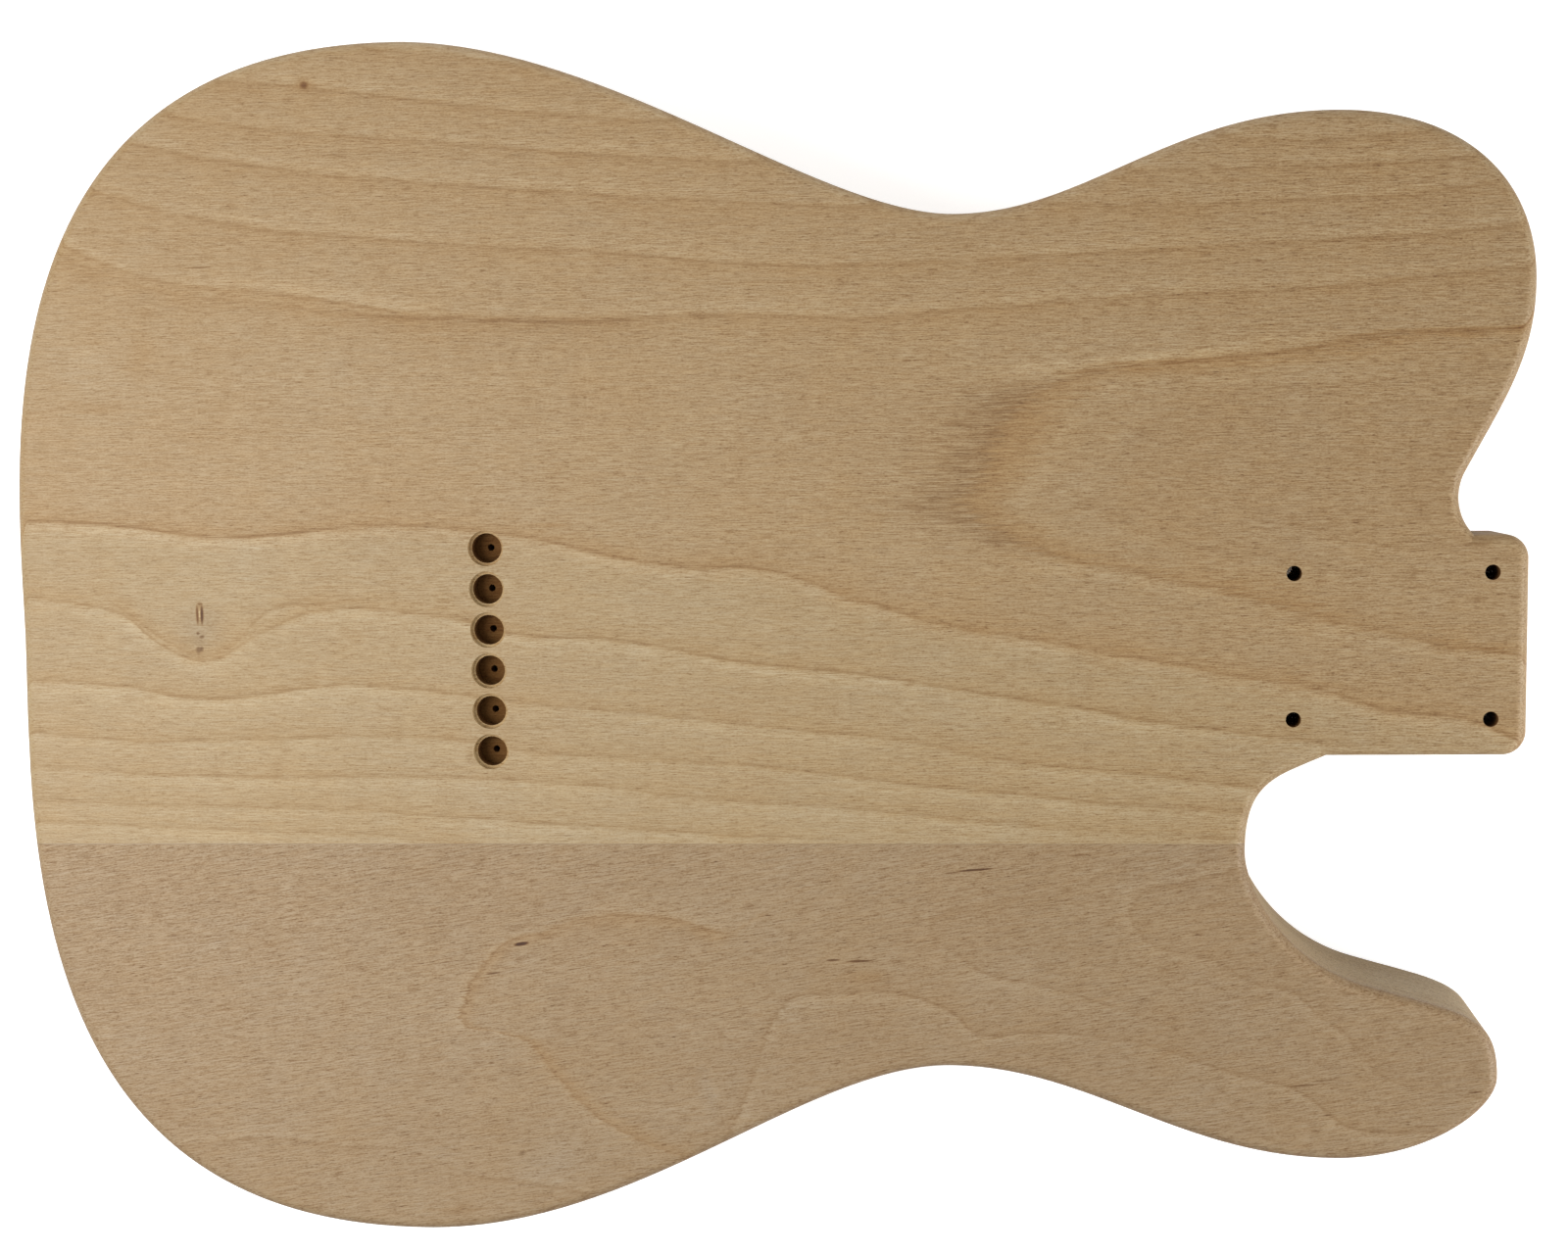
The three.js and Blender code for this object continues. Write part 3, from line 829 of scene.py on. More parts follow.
LINES_BELOW = (
    (1.1, ((28, 531), (125, 537), (237, 549), (300, 544), (375, 536), (475, 541), (544, 550), (687, 578),
           (780, 581), (874, 612), (967, 637), (1061, 653), (1155, 669), (1249, 687), (1342, 703), (1417, 724),
           (1505, 736), (1552, 756))),
    (0.9, ((31, 608), (90, 618), (129, 630), (150, 648), (174, 664), (198, 673), (216, 673), (234, 665),
           (258, 650), (288, 636), (306, 627), (330, 622), (375, 620), (420, 625), (480, 633), (531, 647),
           (625, 653), (780, 678), (874, 687), (967, 703), (1080, 719), (1186, 737), (1280, 750), (1342, 757))),
    (0.5, ((129, 626), (150, 641), (174, 657), (198, 667), (222, 667), (240, 656), (252, 642), (270, 627),
           (288, 618), (312, 616), (340, 614))),
    (0.8, ((31, 694), (125, 700), (206, 712), (281, 706), (350, 699), (475, 709), (531, 716), (687, 731),
           (780, 741), (905, 753), (1030, 775), (1155, 789), (1280, 803))),
    (0.7, ((31, 746), (162, 756), (281, 753), (475, 755), (537, 766), (625, 773), (780, 782), (905, 797),
           (1030, 809), (1155, 822), (1274, 828))),
    (0.6, ((37, 781), (187, 791), (350, 792), (500, 795), (625, 803), (687, 812), (780, 819), (905, 828),
           (1030, 841), (1155, 850), (1267, 856))),
    (0.6, ((41, 816), (187, 822), (350, 825), (500, 837), (625, 845), (812, 855))),
    (0.5, ((41, 837), (187, 845), (350, 850), (469, 861))),
)
ARCH_TIP = (985, 507)
ARCH_AXIS = ((40, 500), (600, 500), ARCH_TIP, (1280, 490), (1555, 478))
ARCH = ((1560, 334), (1469, 338), (1401, 344), (1333, 355), (1265, 363), (1206, 368), (1152, 374), (1116, 380),
        (1084, 389), (1062, 399), (1043, 414), (1028, 432), (1014, 455), (1006, 477), (997, 496), (984, 508),
        (979, 514), (984, 520), (996, 529), (1012, 538), (1036, 549), (1061, 560), (1107, 575), (1152, 584),
        (1224, 597), (1270, 607), (1315, 620), (1379, 638), (1424, 647), (1469, 658), (1551, 668))
HEART_CORE = ((410, 323), (440, 324), (500, 327), (560, 329), (600, 328), (640, 327))
TREBLE_LINES = (
    (-1.0, 1.1, ((600, 1290), (700, 1215), (744, 1156), (756, 1131), (775, 1081), (792, 1037), (811, 1019), (842, 1014),
           (905, 1011), (942, 1020), (974, 1034), (999, 1056), (1042, 1053), (1124, 1059), (1186, 1069),
           (1230, 1087), (1280, 1100), (1324, 1112), (1349, 1131), (1380, 1150), (1442, 1156))),
    (1.0, 0.8, ((40, 1180), (187, 1169), (262, 1162), (350, 1169), (412, 1175), (475, 1197), (544, 1209), (600, 1219),
           (700, 1260))),
)
TREBLE_LINES_ACROSS = (
    (-1.0, 0.75, ((1267, 884), (1230, 897), (1180, 906), (1155, 925), (1161, 947), (1180, 966), (1230, 975),
           (1274, 1000), (1317, 1012), (1342, 1034), (1374, 1056), (1392, 1081), (1430, 1106), (1499, 1119))),
    (-1.0, 0.7, ((1120, 895), (1092, 906), (1030, 919), (967, 931), (949, 950), (980, 975), (1005, 994), (1061, 1006),
           (1110, 1020))),
)
WAVE_CENTRE = (660, 1050)
WAVE_LINE = ((819, 909), (781, 931), (737, 953), (675, 937), (625, 934), (562, 950), (519, 962), (494, 984),
             (475, 1019), (472, 1044), (500, 1053), (537, 1062), (556, 1081), (581, 1112), (612, 1141),
             (650, 1162), (687, 1178))
OVALS_CENTRE = (676, 1090)
KNOT = (204, 640)

# Marks: pixel, half length and half width in millimetres, slope in degrees, softness, tone, warmth
BASS_MARKS = (
    ((204, 638), 9.0, 9.0, 0, 0.1, -0.5, -1.2),
    ((204, 655), 3.0, 3.5, 0, 0.1, -0.3, -0.5),
    ((201.3, 627.5), 0.42, 3.4, 1, 0.3, -4.4, 2.0),
    ((206.0, 627.5), 0.55, 3.3, -1, 0.3, -7.0, 0.0),
    ((204, 616.5), 1.0, 0.5, 0, 0.3, -3.0, 0.5),
    ((203.7, 627), 1.6, 3.8, 0, 0.3, -1.0, 1.5),
    ((203.7, 627), 0.42, 2.9, 0, 0.0, 3.0, 1.0),
    ((202, 646.5), 0.6, 0.6, 0, 0.1, -4.5, 0.0),
    ((206, 650), 1.0, 0.6, 20, 0.1, -4.0, 0.0),
    ((202.6, 663.5), 1.1, 1.3, 0, 0.2, -3.4, -1.2),
    ((206, 662.5), 0.7, 1.0, 0, 0.2, -3.4, -1.2),
    ((310, 87), 1.5, 1.2, 0, 0.2, -4.2, 0.8),
    ((311, 86), 4.0, 2.2, 0, 0.0, -1.0, 0.8),
    ((90, 375), 11.0, 8.0, -8, 0.3, 0.25, -0.2),
    ((143, 362), 5.0, 11.0, -8, 0.0, -0.3, 0.5),
    ((95, 416), 13.0, 3.0, -4, 0.0, -0.3, 0.6),
    ((562, 536), 9.0, 1.0, 0, 0.0, -0.5, 1.2),
    # painted shade: a thin dark line along the heel's bass side by the notch, where its side wall lies in shade
    ((1507, 555), 5.5, 0.5, 0, 0.3, -2.4, 0.0),
    ((220, 852), 24.0, 2.0, -2, 0.2, 0.3, 0.6),
    ((925, 368), 2.0, 0.4, 0, 0.3, -2.6, 0.0),
    ((203, 273), 4.5, 0.35, 2, 0.3, -2.4, 0.0),
    ((340, 158), 6.0, 0.4, 3, 0.3, -1.4, 0.0),
)
TREBLE_MARKS = (
    ((532, 963.5), 2.4, 0.62, 10, 0.5, -9.0, 0.0),
    ((503, 993.5), 2.6, 0.36, 8, 0.3, -5.0, 0.0),
    ((850, 980), 2.4, 0.34, 2, 0.4, -6.0, 0.0),
    ((877, 981), 4.6, 0.4, 2, 0.4, -6.0, 0.0),
    ((995, 888), 6.0, 0.38, 5, 0.4, -7.0, 0.0),
    ((970, 891), 2.5, 0.3, 5, 0.3, -3.5, 0.0),
    ((1100, 873), 4.0, 0.32, 4, 0.3, -3.0, 0.0),
    ((1330, 1108), 5.0, 0.36, 5, 0.3, -4.0, 0.0),
    ((1352, 1103), 4.0, 0.3, 5, 0.3, -2.5, 0.0),
    ((1505, 1115), 2.2, 0.32, 8, 0.3, -4.0, 0.0),
    ((533, 1177), 1.6, 0.9, 20, 0.1, -2.5, -1.0),
    ((470, 1235), 7.0, 2.2, 8, 0.0, -0.7, 0.6),
    ((570, 1190), 14.0, 9.0, 20, 0.0, 0.0, -0.7),
    ((885, 997), 10.5, 3.6, 2, 0.0, -0.25, 0.7),
    ((722, 1115), 4.0, 11.0, 14, 0.0, 0.1, -0.8),
)


def on_back(pixel):
    """Place on the back face, in millimetres, that a place in the picture shows"""
    ray = Vector((pixel[0] - LENS_CENTRE.x, LENS_CENTRE.y - pixel[1], -FOCAL_PIXELS))
    ray.rotate(CAMERA_TURN)
    place = CAMERA_PLACE + ray * ((BOARD_TOP - CAMERA_PLACE.z) / ray.z)
    return Vector((place.x, place.y)) / MM


def line_span(points):
    return [tuple(on_back(p)) for p in points]


def swapped(places):
    """Places of a line that runs across the board, height first"""
    return [(b, a) for a, b in places]


# ------------------------------------------------------------------ the wood's figure

ALONG, ACROSS = (-130.0, 275.0), (-170.0, 170.0)  # what the lines span on the body, in millimetres

# Across one growth line, in millimetres outwards: brown gathers, a thin dark line, then pale wood at once
LINE_SPAN = (-12.0, 12.0)
LINE_TONE = ((-12, 0), (-7, -0.05), (-4, -0.12), (-2, -0.22), (-1, -0.34), (-0.5, -0.62), (-0.2, -1.15),
             (0.1, -1.1), (0.4, -0.4), (0.7, 0.08), (1.1, 0.36), (1.7, 0.5), (2.5, 0.45), (3.6, 0.2), (5.5, 0.06),
             (8, 0), (12, 0))
LINE_WARMTH = ((-12, 0), (-7, 0.05), (-4, 0.2), (-1, 0.6), (0, 0.6), (0.8, 0.3), (2, 0.12), (5, 0), (12, 0))
LINE_FADE = 12.0  # over how many millimetres a drawn line starts and ends

# Along the middle of the arch, in millimetres outwards: pale nested edge, golden band, then the wood round it
TIP_SPAN = (-40.0, 40.0)
TIP_TONE = ((-40, -0.2), (-24, -0.25), (-18, -0.2), (-15.5, 0.05), (-13, -0.1), (-10, -0.4), (-5, -0.45),
            (-1.5, -0.75), (0, -0.9), (1.2, -0.6), (3, -0.35), (9, -0.1), (14, 0.15), (19, 0.3), (28, 0.1), (40, 0))
TIP_WARMTH = ((-40, 0), (-17, 0), (-12, 0.3), (-7, 0.8), (-2, 1.0), (0, 0.6), (2, 0), (7, -0.3), (14, -0.1),
              (22, 0), (40, 0))
# How dark the strokes outside its tip are
TIP_STROKES = ((-40, 0), (-3, 0), (0, 0.6), (3, 1.5), (9, 1.4), (17, 0.9), (27, 0.4), (36, 0.1), (40, 0))

# Each noise of the fibre: its rate along, across and through the board, its detail and its strength
FIBRE_LAYERS = (
    ((0.3, 3.5, 3.5), 1.0, 4.4),
    ((0.13, 2.6, 2.6), 1.0, 3.4),
    ((0.02, 0.6, 0.9), 2.0, 1.0),
    ((1.4, 3.0, 3.0), 1.0, 3.5),
    ((0.0012, 0.0012, 1.1), 1.0, 2.6),
)
HUE_LAYER = ((0.12, 0.9, 0.9), 2.0, 2.0)
PORE_RATES = (0.42, 3.6, 3.6)

TREBLE_STRENGTH, TREBLE_LINE_WIDTH, TREBLE_LINE_WARMTH = 0.88, 0.8, 0.3
# Inside the arch: how far along the board each nested arch starts, and its strength
NESTED_ARCHES = ((34.0, 0.3), (70.0, 0.25), (112.0, 0.3))
NARROWING = 150.0  # an arch that starts this far along is half as wide
# Round the middle of the ovals: radius and strength of each
OVALS = ((12.0, 0.22), (20.0, 0.28))

TOP = BOARD_TOP / MM
PROBE = 1.5  # how far off a line is read again for its slant
MARK_DEPTH = 3.0


def shader_group(name, inputs, outputs, build):
    """Node group made once and found again by name; an input without a default is a vector"""
    tree = bpy.data.node_groups.get(name)
    if tree is None:
        tree = bpy.data.node_groups.new(name, "ShaderNodeTree")
        for label, value in inputs.items():
            kind = "NodeSocketVector" if value is None else "NodeSocketFloat"
            socket = tree.interface.new_socket(label, in_out="INPUT", socket_type=kind)
            if value is not None:
                socket.default_value = value
        for label in outputs:
            tree.interface.new_socket(label, in_out="OUTPUT", socket_type="NodeSocketFloat")
        w = Wiring(tree)
        results = build(w, w.given())
        w.node("NodeGroupOutput", results)
    return tree


def growth_line():
    """Tone and warmth of one growth line from the distance outwards across it"""
    def build(w, given):
        away = (given["Across"] / given["Width"]).clip(*LINE_SPAN)
        tone = away.curve(LINE_TONE, *LINE_SPAN, -1.2, 1.2) * given["Strength"]
        warmth = away.curve(LINE_WARMTH, *LINE_SPAN, -1.0, 1.0) * given["Strength"] * given["Warmth"]
        return tone, warmth
    return shader_group("Growth line", {"Across": 0.0, "Width": 1.0, "Strength": 1.0, "Warmth": 1.0},
                        ("Tone", "Warmth"), build)


def fibre():
    """Fine strokes and short open pores that run along the fibre"""
    def build(w, given):
        place = w.turned(given["Place"], given["Slope"]) - (0.0, 0.0, TOP)

        def layer(rates, detail, strength):
            return (w.noise(place * rates, detail) - 0.5) * strength

        strokes = total([layer(*each) for each in FIBRE_LAYERS])
        pores = w.noise(place * PORE_RATES, 1.0, 0.5).stretch(0.62, 0.74)
        return strokes, pores, layer(*HUE_LAYER)
    return shader_group("Fibre", {"Place": None, "Slope": 0.0}, ("Strokes", "Pores", "Warmth"), build)


def fleck():
    """Mask of one soft-edged oval mark in the wood, as long, wide and deep as Size says"""
    def build(w, given):
        leg = w.turned(given["Place"] - given["Centre"], -given["Slope"])
        return ((leg / given["Size"]).length().stretch(given["Soft"], 1.0, 1.0, 0.0, True),)
    return shader_group("Fleck", {"Place": None, "Centre": None, "Size": None, "Slope": 0.0, "Soft": 0.0},
                        ("Mask",), build)


def flecks(w, place, marks):
    """Tone and warmth of a list of marks: pixel, half length and width in mm, slope, softness, tone, warmth"""
    tones, warmths = [], []
    for pixel, long, wide, slope, soft, tone, warmth in marks:
        mask, = w.group(fleck(), Place=place, Centre=(*on_back(pixel), TOP), Size=(long, wide, MARK_DEPTH),
                        Slope=math.radians(slope), Soft=soft)
        tones.append(mask * tone)
        warmths.append(mask * warmth)
    return total(tones), total(warmths)


def between_ends(along, places):
    """1 where a line is drawn, falling to 0 past its first and last place"""
    first, last = min(places)[0], max(places)[0]
    return along.stretch(first - LINE_FADE, first) * along.stretch(last + LINE_FADE, last)


def drawn_line(w, along, height, places, outward, strength, width=1.0, warmth=1.0, reach=ALONG, rise=ACROSS,
               steep=False):
    """One growth line through the places given; outward says which side is pale"""
    line = along.curve(places, *reach, *rise)
    away = (height - line) * outward
    if steep:
        slant = ((along + PROBE).curve(places, *reach, *rise) - line) / PROBE
        away = away / (slant * slant + 1.0).root()
    seen = between_ends(along, places) * strength
    return line, w.group(growth_line(), Across=away, Width=width, Strength=seen, Warmth=warmth)


def arch_field(along, height):
    """How far outside the arch, measured along the fibre and square to the line, and the line's slant"""
    places = swapped(line_span(ARCH))

    def edge(shift):
        return (height + shift).curve(places, min(places)[0], max(places)[0], *ALONG)

    slant = abs((edge(PROBE) - edge(-PROBE)) / (2 * PROBE))
    level = edge(0.0) - along
    return level, level / (slant * slant + 1.0).root(), slant


def bass_figure(pith):
    """Growth lines, arch and knot of the bass board: tone, warmth and how far it is sapwood"""
    def build(w, given):
        x, y, z = w.separate(given["Place"])
        axis = x.curve(line_span(ARCH_AXIS), *ALONG, *ACROSS)
        off_axis = y - axis
        ring = off_axis * off_axis + (z - TOP) * (z + (TOP - 2 * pith))
        inner = ring.into("MINIMUM", 0.0) * (-0.5 / (TOP - pith))
        across = off_axis.into("SIGN") * ring.into("MAXIMUM", 0.0).root()

        def noise(along, over, detail, seed=0.0):
            return w.noise(w.combine(x * along, across * over, inner * over + seed), detail)

        ragged = noise(0.035, 1.25, 3.0) - 0.5
        wander = noise(0.04, 0.05, 2.0, 7.3) - 0.5
        strands = noise(0.09, 2.4, 1.0, 3.1).stretch(0.36, 0.6, 0.35, 1.25)
        broad = noise(0.02, 0.09, 1.0, 11.7).stretch(0.35, 0.65, 0.6, 1.25)
        from_knot = (given["Place"] - (*on_back(KNOT), TOP)).length()
        along = ragged * from_knot.stretch(12.0, 40.0, 1.5, 9.0) + x
        height = axis + across + wander * 1.6
        drawn = [drawn_line(w, along, height, line_span(points), outward, strength)
                 for outward, lines in ((1.0, LINES_ABOVE), (-1.0, LINES_BELOW)) for strength, points in lines]
        heart_line = drawn[len(LINES_ABOVE)][0]
        tones, warmths = [made[0] for _, made in drawn], [made[1] for _, made in drawn]
        core = drawn_line(w, along, height, line_span(HEART_CORE), 1.0, 1.5)[1]
        tones.append(core[0].into("MINIMUM", 0.0))
        streaked = strands * broad * 1.15
        tone, warmth = total(tones) * streaked, total(warmths)

        feathered = ragged * 24.0 + x + inner * -6.0
        level, square, slant = arch_field(feathered, height)
        tip = slant.stretch(1.2, 4.5, 1.0, 0.0, True)
        level = level.clip(*TIP_SPAN)
        stroke = noise(0.1, 2.6, 2.0, 17.9).stretch(0.42, 0.58, 0.0, 1.3)
        darker = stroke * level.curve(TIP_STROKES, *TIP_SPAN, -2.0, 2.0)
        tip_tone = level.curve(TIP_TONE, *TIP_SPAN, -1.0, 1.0) - darker
        tip_warmth = level.curve(TIP_WARMTH, *TIP_SPAN, -2.0, 2.0) + darker * -0.1
        near = level.stretch(24.0, 38.0, 1.0, 0.0)
        arm = w.group(growth_line(), Across=square, Width=1.2, Warmth=1.3, Strength=near * streaked * 1.35)
        tone = tone + w.mix(tip, arm[0], tip_tone)
        warmth = warmth + w.mix(tip, arm[1], tip_warmth)
        middle = on_back(ARCH_TIP).y
        for shift, strength in NESTED_ARCHES:
            narrower = (height - middle) * (1.0 + shift / NARROWING) + middle
            square = arch_field(feathered - shift, narrower)[1]
            tone = tone + w.group(growth_line(), Across=square, Width=1.6, Strength=strands * strength)[0]
        mark_tone, mark_warmth = flecks(w, given["Place"], BASS_MARKS)
        tone = tone + mark_tone + (broad - 0.9) * 0.25
        warmth = warmth + mark_warmth + wander * 1.5
        return tone, warmth, (heart_line - height).stretch(-0.5, 6.0, 0.0, 1.0, True)
    return shader_group("Bass board figure", {"Place": None}, ("Tone", "Warmth", "Sap"), build)


def treble_figure():
    """Waves, arch and ovals of the treble board; none of it is sapwood"""
    def build(w, given):
        x, y, z = w.separate(given["Place"])
        lower = TOP - z
        y = lower * 0.7 + y
        x = lower * -0.5 + x

        def noise(along, over, detail, seed):
            return w.noise(w.combine(x * along, y * over, seed), detail)

        ragged = noise(0.04, 1.1, 3.0, 3.1) - 0.5
        wander = noise(0.05, 0.05, 2.0, 1.7) - 0.5
        strands = noise(0.12, 2.2, 1.0, 5.1).stretch(0.36, 0.6, 0.4, 1.2)
        broad = noise(0.025, 0.06, 1.0, 9.7).stretch(0.35, 0.65, 0.5, 1.2)
        along = ragged * 5.0 + x
        height = wander * 2.0 + y

        def line(ahead, aside, places, outward, strength, *spans):
            return drawn_line(w, ahead, aside, places, outward, TREBLE_STRENGTH * strength, TREBLE_LINE_WIDTH,
                              TREBLE_LINE_WARMTH, *spans, steep=True)[1]

        made = [line(along, height, line_span(points), outward, strength)
                for outward, strength, points in TREBLE_LINES]
        made += [line(height, along, swapped(line_span(points)), outward, strength, (-170.0, -40.0), ALONG)
                 for outward, strength, points in TREBLE_LINES_ACROSS]
        centre = on_back(WAVE_CENTRE)
        legs = [Vector(point) - centre for point in line_span(WAVE_LINE)]
        spokes = [(math.atan2(-leg.y, -leg.x), leg.length) for leg in legs]
        dx, dy = along - centre.x, height - centre.y
        angle = (-dy).into("ARCTAN2", -dx)
        wave = (dx * dx + dy * dy).root() - angle.curve(spokes, -math.pi, math.pi, 0.0, 80.0)
        open_side = abs(angle).stretch(2.1, 2.6, 0.9, 0.0, True)
        made.append(w.group(growth_line(), Across=wave, Width=0.8, Strength=open_side, Warmth=1.8))
        middle = on_back(OVALS_CENTRE)
        ox, oy = wander * 9.0 + (along - middle.x), (height - middle.y) * 1.2
        oval = (ox * ox + oy * oy).root()
        for radius, strength in OVALS:
            made.append(w.group(growth_line(), Across=oval - radius, Width=0.9, Strength=broad * strength,
                                Warmth=-1.0))
        mark_tone, mark_warmth = flecks(w, given["Place"], TREBLE_MARKS)
        tone = total([each[0] for each in made]) * (strands * broad) + mark_tone + (broad - 0.85) * 0.3
        warmth = total([each[1] for each in made]) + mark_warmth + wander * 1.5
        return tone, warmth, 0.0
    return shader_group("Treble board figure", {"Place": None}, ("Tone", "Warmth", "Sap"), build)


# ------------------------------------------------------------------ materials

# What one step of tone and of warmth does to red, green and blue, as exponents
STEPS_OF_COLOUR = ((0.165, 0.01), (0.235, -0.04), (0.33, -0.14))
# Of each finish: what it does to the colour, its roughness and how deep its grain is in millimetres
FINISHES = {
    FACE: ((1.0, 1.0, 1.0), 0.58, 0.02),
    # Routed wood is painted paler than the face: painted light that lifts the shade of the shallow rims round the
    # string holes and of the routed faces
    ROUTED: ((1.25, 1.2, 1.08), 0.75, 0.06),
    BORED: ((0.62, 0.5, 0.36), 0.8, 0.06),
    SEAT: ((0.45, 0.27, 0.08), 0.85, 0.06),
}
TAIL_TO_NECK = (-110.0, 240.0)
PORE = 2.0  # how much darker a pore is than a stroke
SKEW = -0.22  # makes dark strokes stronger than pale ones
SAP_FIBRE = -0.1  # what sapwood adds to the fibre's strength
ROUGHNESS_SWING = 0.06
PATCH_RATES = (0.12, 1.0, 0.6)  # of the paler and darker patches in the glue
PAINTED_WALL_LIGHT_FADE = (TOP - 8.0, TOP - 3.0)  # where the back's colour gives way to painted light: outer sides painted a little paler than the back


def shaded(name):
    """A new material, its wiring and its shader"""
    material = bpy.data.materials.new(name)
    material.use_nodes = True
    w = Wiring(material.node_tree)
    return material, w, next(n for n in w.nodes if n.type == "BSDF_PRINCIPLED")


def in_object(w):
    return w.value("ShaderNodeTexCoord", output="Object")


def in_millimetres(w):
    return in_object(w) * (1 / MM, 1 / MM, 1 / MM)


def dress(w, shader, **inputs):
    """The shader's inputs by name, with _ for each space"""
    for name, value in inputs.items():
        w.feed(shader.inputs[name.replace("_", " ")], value)


def wood(name, finish, look, figure, base, sap, slope, strength, walls):
    """One board's wood in one finish. The fibre has one strength at the tail and one at the neck, and the last
    argument is painted light: a tint that paints the outer sides a little paler than the back, for light they catch"""
    material, w, shader = shaded(name)
    place = in_millimetres(w)
    tone, warmth, sapwood = w.group(figure, Place=place)
    strokes, pores, hue = w.group(fibre(), Place=place, Slope=-slope)
    x, _, z = w.separate(place)
    strokes = (strokes - pores * PORE) * (x.stretch(*TAIL_TO_NECK, *strength) + sapwood * SAP_FIBRE)
    strokes = strokes * (strokes * SKEW + 1.0)
    tone = tone * look.figure + strokes * look.fibre
    warmth = warmth * look.figure + hue * look.fibre
    gains = [(tone * by_tone + warmth * by_warmth).into("EXPONENT") for by_tone, by_warmth in STEPS_OF_COLOUR]
    shade = w.mix_colours(sapwood, base, sap) * w.combine(*gains)
    tint, rough, relief = FINISHES[finish]
    if finish == FACE:
        # painted light: the outer sides below the rounding are painted paler than the back
        below = z.stretch(*PAINTED_WALL_LIGHT_FADE, 1.0, 0.0)
        shade = w.mix_colours(below, shade, shade * walls)
    else:
        # for routed wood this tint is painted light that lifts the shade in rims, pocket sides and cavities
        shade = shade * tint
    bump = w.value("ShaderNodeBump", {"Strength": 0.35, "Distance": relief * MM, "Height": strokes})
    dress(w, shader, Base_Color=shade, Specular_IOR_Level=0.32, Normal=bump,
          Roughness=tone.stretch(-1.0, 1.0, rough + ROUGHNESS_SWING, rough - ROUGHNESS_SWING))
    return material


def dress_board(piece, **board):
    """Each placeholder gives way to this board's own wood of that finish"""
    for index, slot in enumerate(piece.data.materials):
        piece.data.materials[index] = wood(f"{piece.name} {slot.name}", slot.name, **board)


def dried_glue(look):
    material, w, shader = shaded("dried glue")
    patches = w.noise(in_millimetres(w) * PATCH_RATES, 3.0)
    glue = tuple(look.glue)
    darker = tuple(channel * 0.8 for channel in glue)
    dress(w, shader, Base_Color=w.mix_colours(patches.stretch(0.35, 0.65), glue, darker),
          Roughness=patches.stretch(0.3, 0.7, 0.45, 0.6))
    return material


def pale_floor(sizes, stage):
    """White table; its glow is for the eye alone, lights nothing, and stays off the ground under the heel"""
    material, w, shader = shaded("pale floor")
    x, y, _ = w.separate(in_object(w))
    fade = 8 * MM
    half_long, half_wide = (sizes.pocket_length + fade) / 2, sizes.pocket_width / 2
    along = abs(x - (sizes.heel_reach - half_long)).stretch(half_long - fade, half_long, 1.0, 0.0, True)
    under = along * abs(y).stretch(half_wide - fade, half_wide, 1.0, 0.0, True)
    seen = w.value("ShaderNodeLightPath", output="Is Camera Ray") * (1.0 - under)
    dress(w, shader, Base_Color=(0.8, 0.8, 0.8, 1), Roughness=0.9, Specular_IOR_Level=0.1,
          Emission_Color=(1, 1, 1, 1), Emission_Strength=seen * stage.floor_glow)
    return material


def soft_light(name, place, aim, size, power):
    """Round soft light at a place, turned to what it lights"""
    lamp = bpy.data.lights.new(name, "AREA")
    lamp.shape = "DISK"
    lamp.size = size
    lamp.energy = power
    light = bpy.data.objects.new(name, lamp)
    light.location = place
    light.rotation_euler = (Vector(aim) - light.location).to_track_quat("-Z", "Y").to_euler()
    bpy.context.scene.collection.objects.link(light)


# ------------------------------------------------------------------ operators

FLOOR_GAP = 0.2 * MM
# Of each light: its place, what it lights and its width
LIGHTS = {
    "key": ((-0.3, -0.04, 0.53), (0.05, 0.0, 0.0), 0.42),
    "fill": ((0.75, -0.17, 0.22), (0.2, -0.03, 0.03), 0.4),
    "side": ((-0.02, 0.65, 0.3), (0.05, 0.0, 0.02), 0.4),
}


class GUITARBODY_OT_bass_board(bpy.types.Operator):
    """Wide board on the bass side, with the neck pocket, pickup cavities, string holes and screw holes"""
    bl_idname = "guitarbody.bass_board"
    bl_label = "Bass Board"

    def execute(self, context):
        sizes, look = context.scene.guitar_body_sizes, context.scene.guitar_body_look
        piece = piece_between(sizes, "bass_board_wood", GLUE_HIGH, sizes.lower_bout_half + PAST)
        # The last tint is painted light that paints this board's outer sides paler than its back
        dress_board(piece, look=look, figure=bass_figure(-look.pith_depth / MM), base=tuple(look.heartwood),
                    sap=tuple(look.sapwood), slope=0.0, strength=(0.74, 1.08), walls=(1.06, 1.07, 1.07))
        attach(piece, "root")
        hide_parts("bass_board")
        return {"FINISHED"}


class GUITARBODY_OT_treble_board(bpy.types.Operator):
    """Narrow board on the treble side, with the horn, control cavity and jack bore"""
    bl_idname = "guitarbody.treble_board"
    bl_label = "Treble Board"

    def execute(self, context):
        sizes, look = context.scene.guitar_body_sizes, context.scene.guitar_body_look
        piece = piece_between(sizes, "treble_board_wood", -sizes.lower_bout_half - PAST, GLUE_LOW)
        base = tuple(look.treble_wood)
        # The last tint is painted light that paints this board's outer sides paler than its back
        dress_board(piece, look=look, figure=treble_figure(), base=base, sap=base, slope=math.radians(8),
                    strength=(1.15, 1.18), walls=(1.13, 1.19, 1.1))
        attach(piece, "root")
        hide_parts("treble_board")
        return {"FINISHED"}


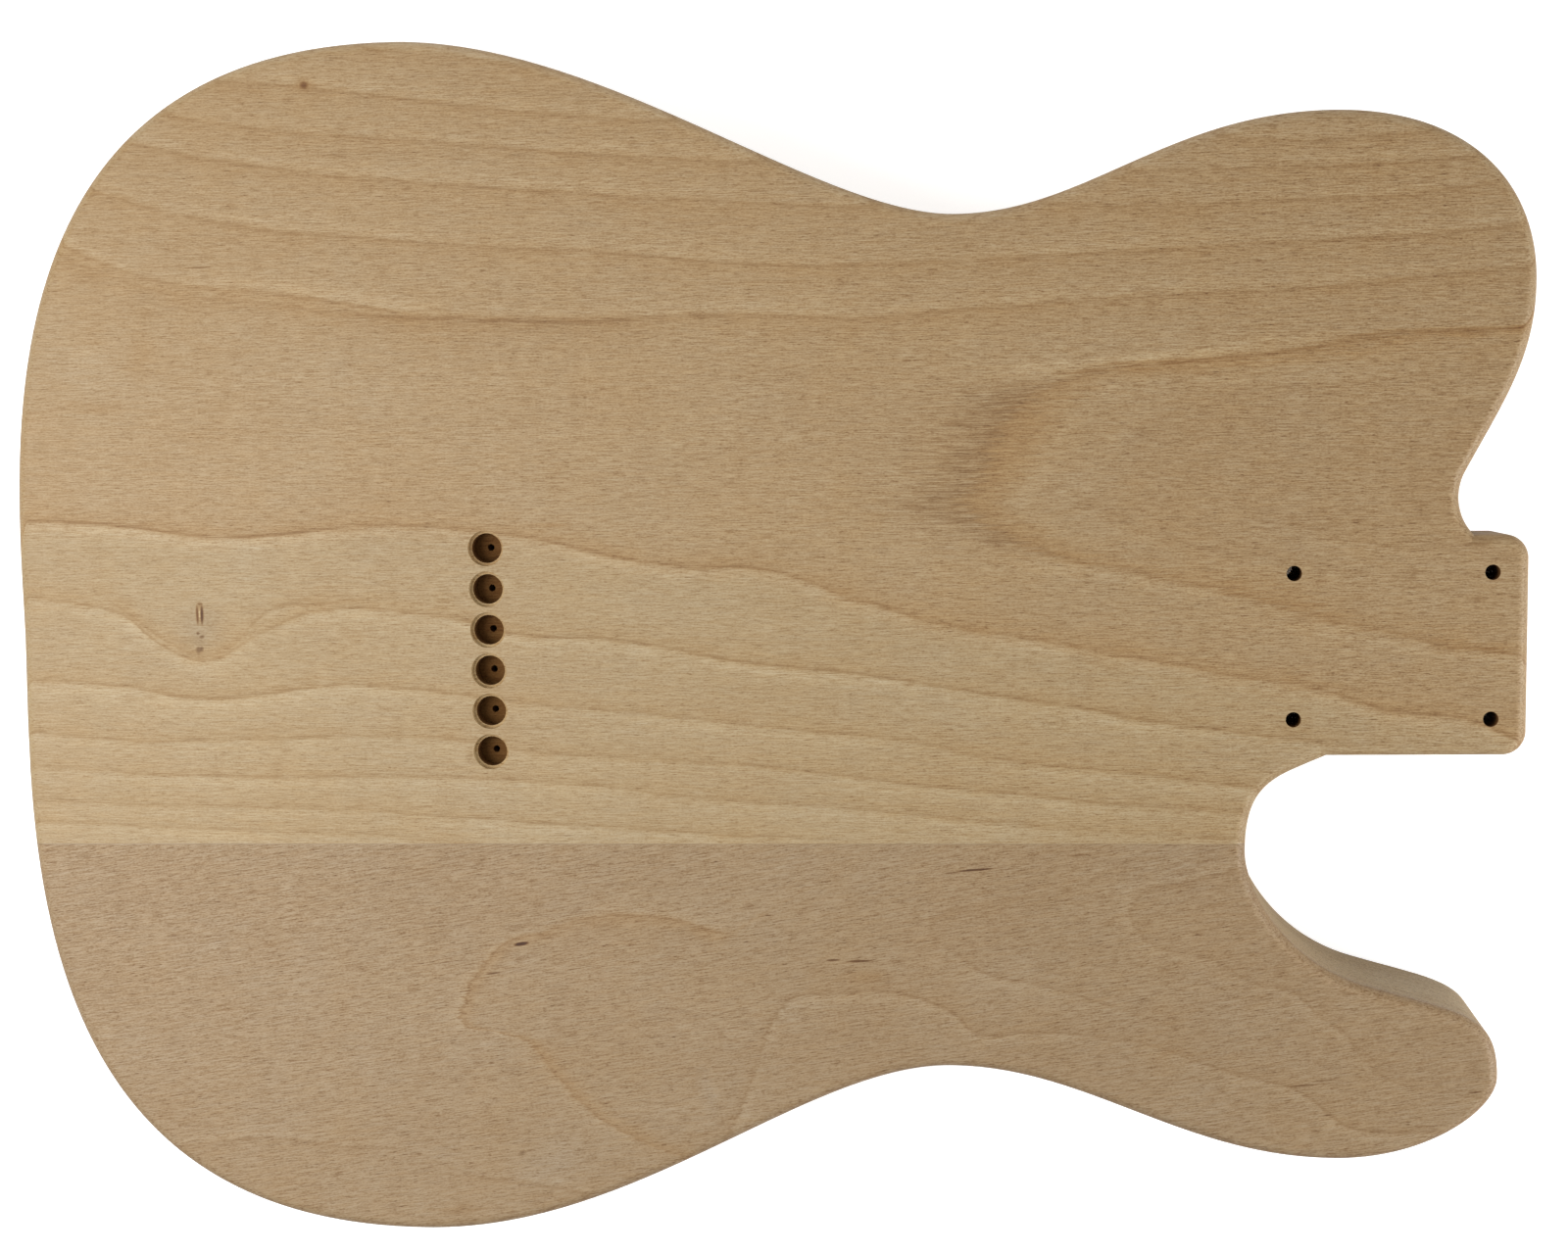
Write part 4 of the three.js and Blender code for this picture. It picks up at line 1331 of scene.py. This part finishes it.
class GUITARBODY_OT_glue_line(bpy.types.Operator):
    """Film of dried glue between the two boards"""
    bl_idname = "guitarbody.glue_line"
    bl_label = "Glue Line"

    def execute(self, context):
        sizes, look = context.scene.guitar_body_sizes, context.scene.guitar_body_look
        piece = piece_between(sizes, "glue_line_film", GLUE_LOW, GLUE_HIGH)
        piece.data.materials.clear()
        piece.data.materials.append(dried_glue(look))
        piece.data.polygons.foreach_set("material_index", [0] * len(piece.data.polygons))
        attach(piece, "root")
        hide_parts("glue_line")
        bpy.data.objects.remove(bpy.data.objects["blank"])
        return {"FINISHED"}


class GUITARBODY_OT_stage(bpy.types.Operator):
    """Pale floor, soft light and the camera"""
    bl_idname = "guitarbody.stage"
    bl_label = "Stage"

    def execute(self, context):
        scene, stage = context.scene, context.scene.guitar_body_stage
        side = stage.floor_size / 2
        mesh = bpy.data.meshes.new("floor")
        mesh.from_pydata([(-side, -side, 0), (side, -side, 0), (side, side, 0), (-side, side, 0)], [], [(0, 1, 2, 3)])
        floor = bpy.data.objects.new("floor", mesh)
        floor.location.z = -FLOOR_GAP
        scene.collection.objects.link(floor)
        mesh.materials.append(pale_floor(scene.guitar_body_sizes, stage))
        world = bpy.data.worlds.new("studio")
        world.use_nodes = True
        back = next(n for n in world.node_tree.nodes if n.type == "BACKGROUND")
        back.inputs[0].default_value = (1.0, 1.0, 1.0, 1)
        back.inputs[1].default_value = stage.sky
        scene.world = world
        for name, (place, aim, size) in LIGHTS.items():
            soft_light(name, place, aim, size, getattr(stage, f"{name}_light"))
        lens = bpy.data.cameras.new("camera")
        lens.sensor_fit = "HORIZONTAL"
        lens.sensor_width = SENSOR_MM
        lens.lens = FOCAL_PIXELS / PICTURE_WIDTH * SENSOR_MM
        lens.shift_x = (PICTURE_WIDTH / 2 - LENS_CENTRE.x) / PICTURE_WIDTH
        lens.shift_y = (LENS_CENTRE.y - PICTURE_HEIGHT / 2) / PICTURE_WIDTH
        camera = bpy.data.objects.new("camera", lens)
        camera.location = CAMERA_PLACE
        camera.rotation_euler = CAMERA_TURN
        scene.collection.objects.link(camera)
        scene.camera = camera
        scene.view_settings.view_transform = "Standard"
        scene.view_settings.look = "None"
        return {"FINISHED"}


class GUITARBODY_PT_body(bpy.types.Panel):
    """Sizes, wood and steps of the guitar body"""
    bl_label = "Guitar Body"
    bl_idname = "GUITARBODY_PT_body"
    bl_space_type = "VIEW_3D"
    bl_region_type = "UI"
    bl_category = "Guitar Body"

    def draw(self, context):
        for operator in STEPS:
            self.layout.operator(operator.bl_idname)
        for name in GROUPS:
            group = getattr(context.scene, name)
            box = self.layout.box()
            for key in group.__annotations__:
                box.prop(group, key)


STEPS = (GUITARBODY_OT_stage, GUITARBODY_OT_bass_board, GUITARBODY_OT_treble_board, GUITARBODY_OT_glue_line)
GROUPS = {"guitar_body_look": GuitarBodyLook, "guitar_body_stage": GuitarBodyStage,
          "guitar_body_sizes": GuitarBodySizes}
CLASSES = (*GROUPS.values(), *STEPS, GUITARBODY_PT_body)


def register():
    for each in CLASSES:
        bpy.utils.register_class(each)
    for name, group in GROUPS.items():
        setattr(bpy.types.Scene, name, PointerProperty(type=group))


def unregister():
    for name in GROUPS:
        delattr(bpy.types.Scene, name)
    for each in reversed(CLASSES):
        bpy.utils.unregister_class(each)


def main():
    register()
    bpy.ops.guitarbody.stage()
    bpy.ops.guitarbody.bass_board()
    bpy.ops.guitarbody.treble_board()
    bpy.ops.guitarbody.glue_line()


if __name__ == "__main__":
    main()
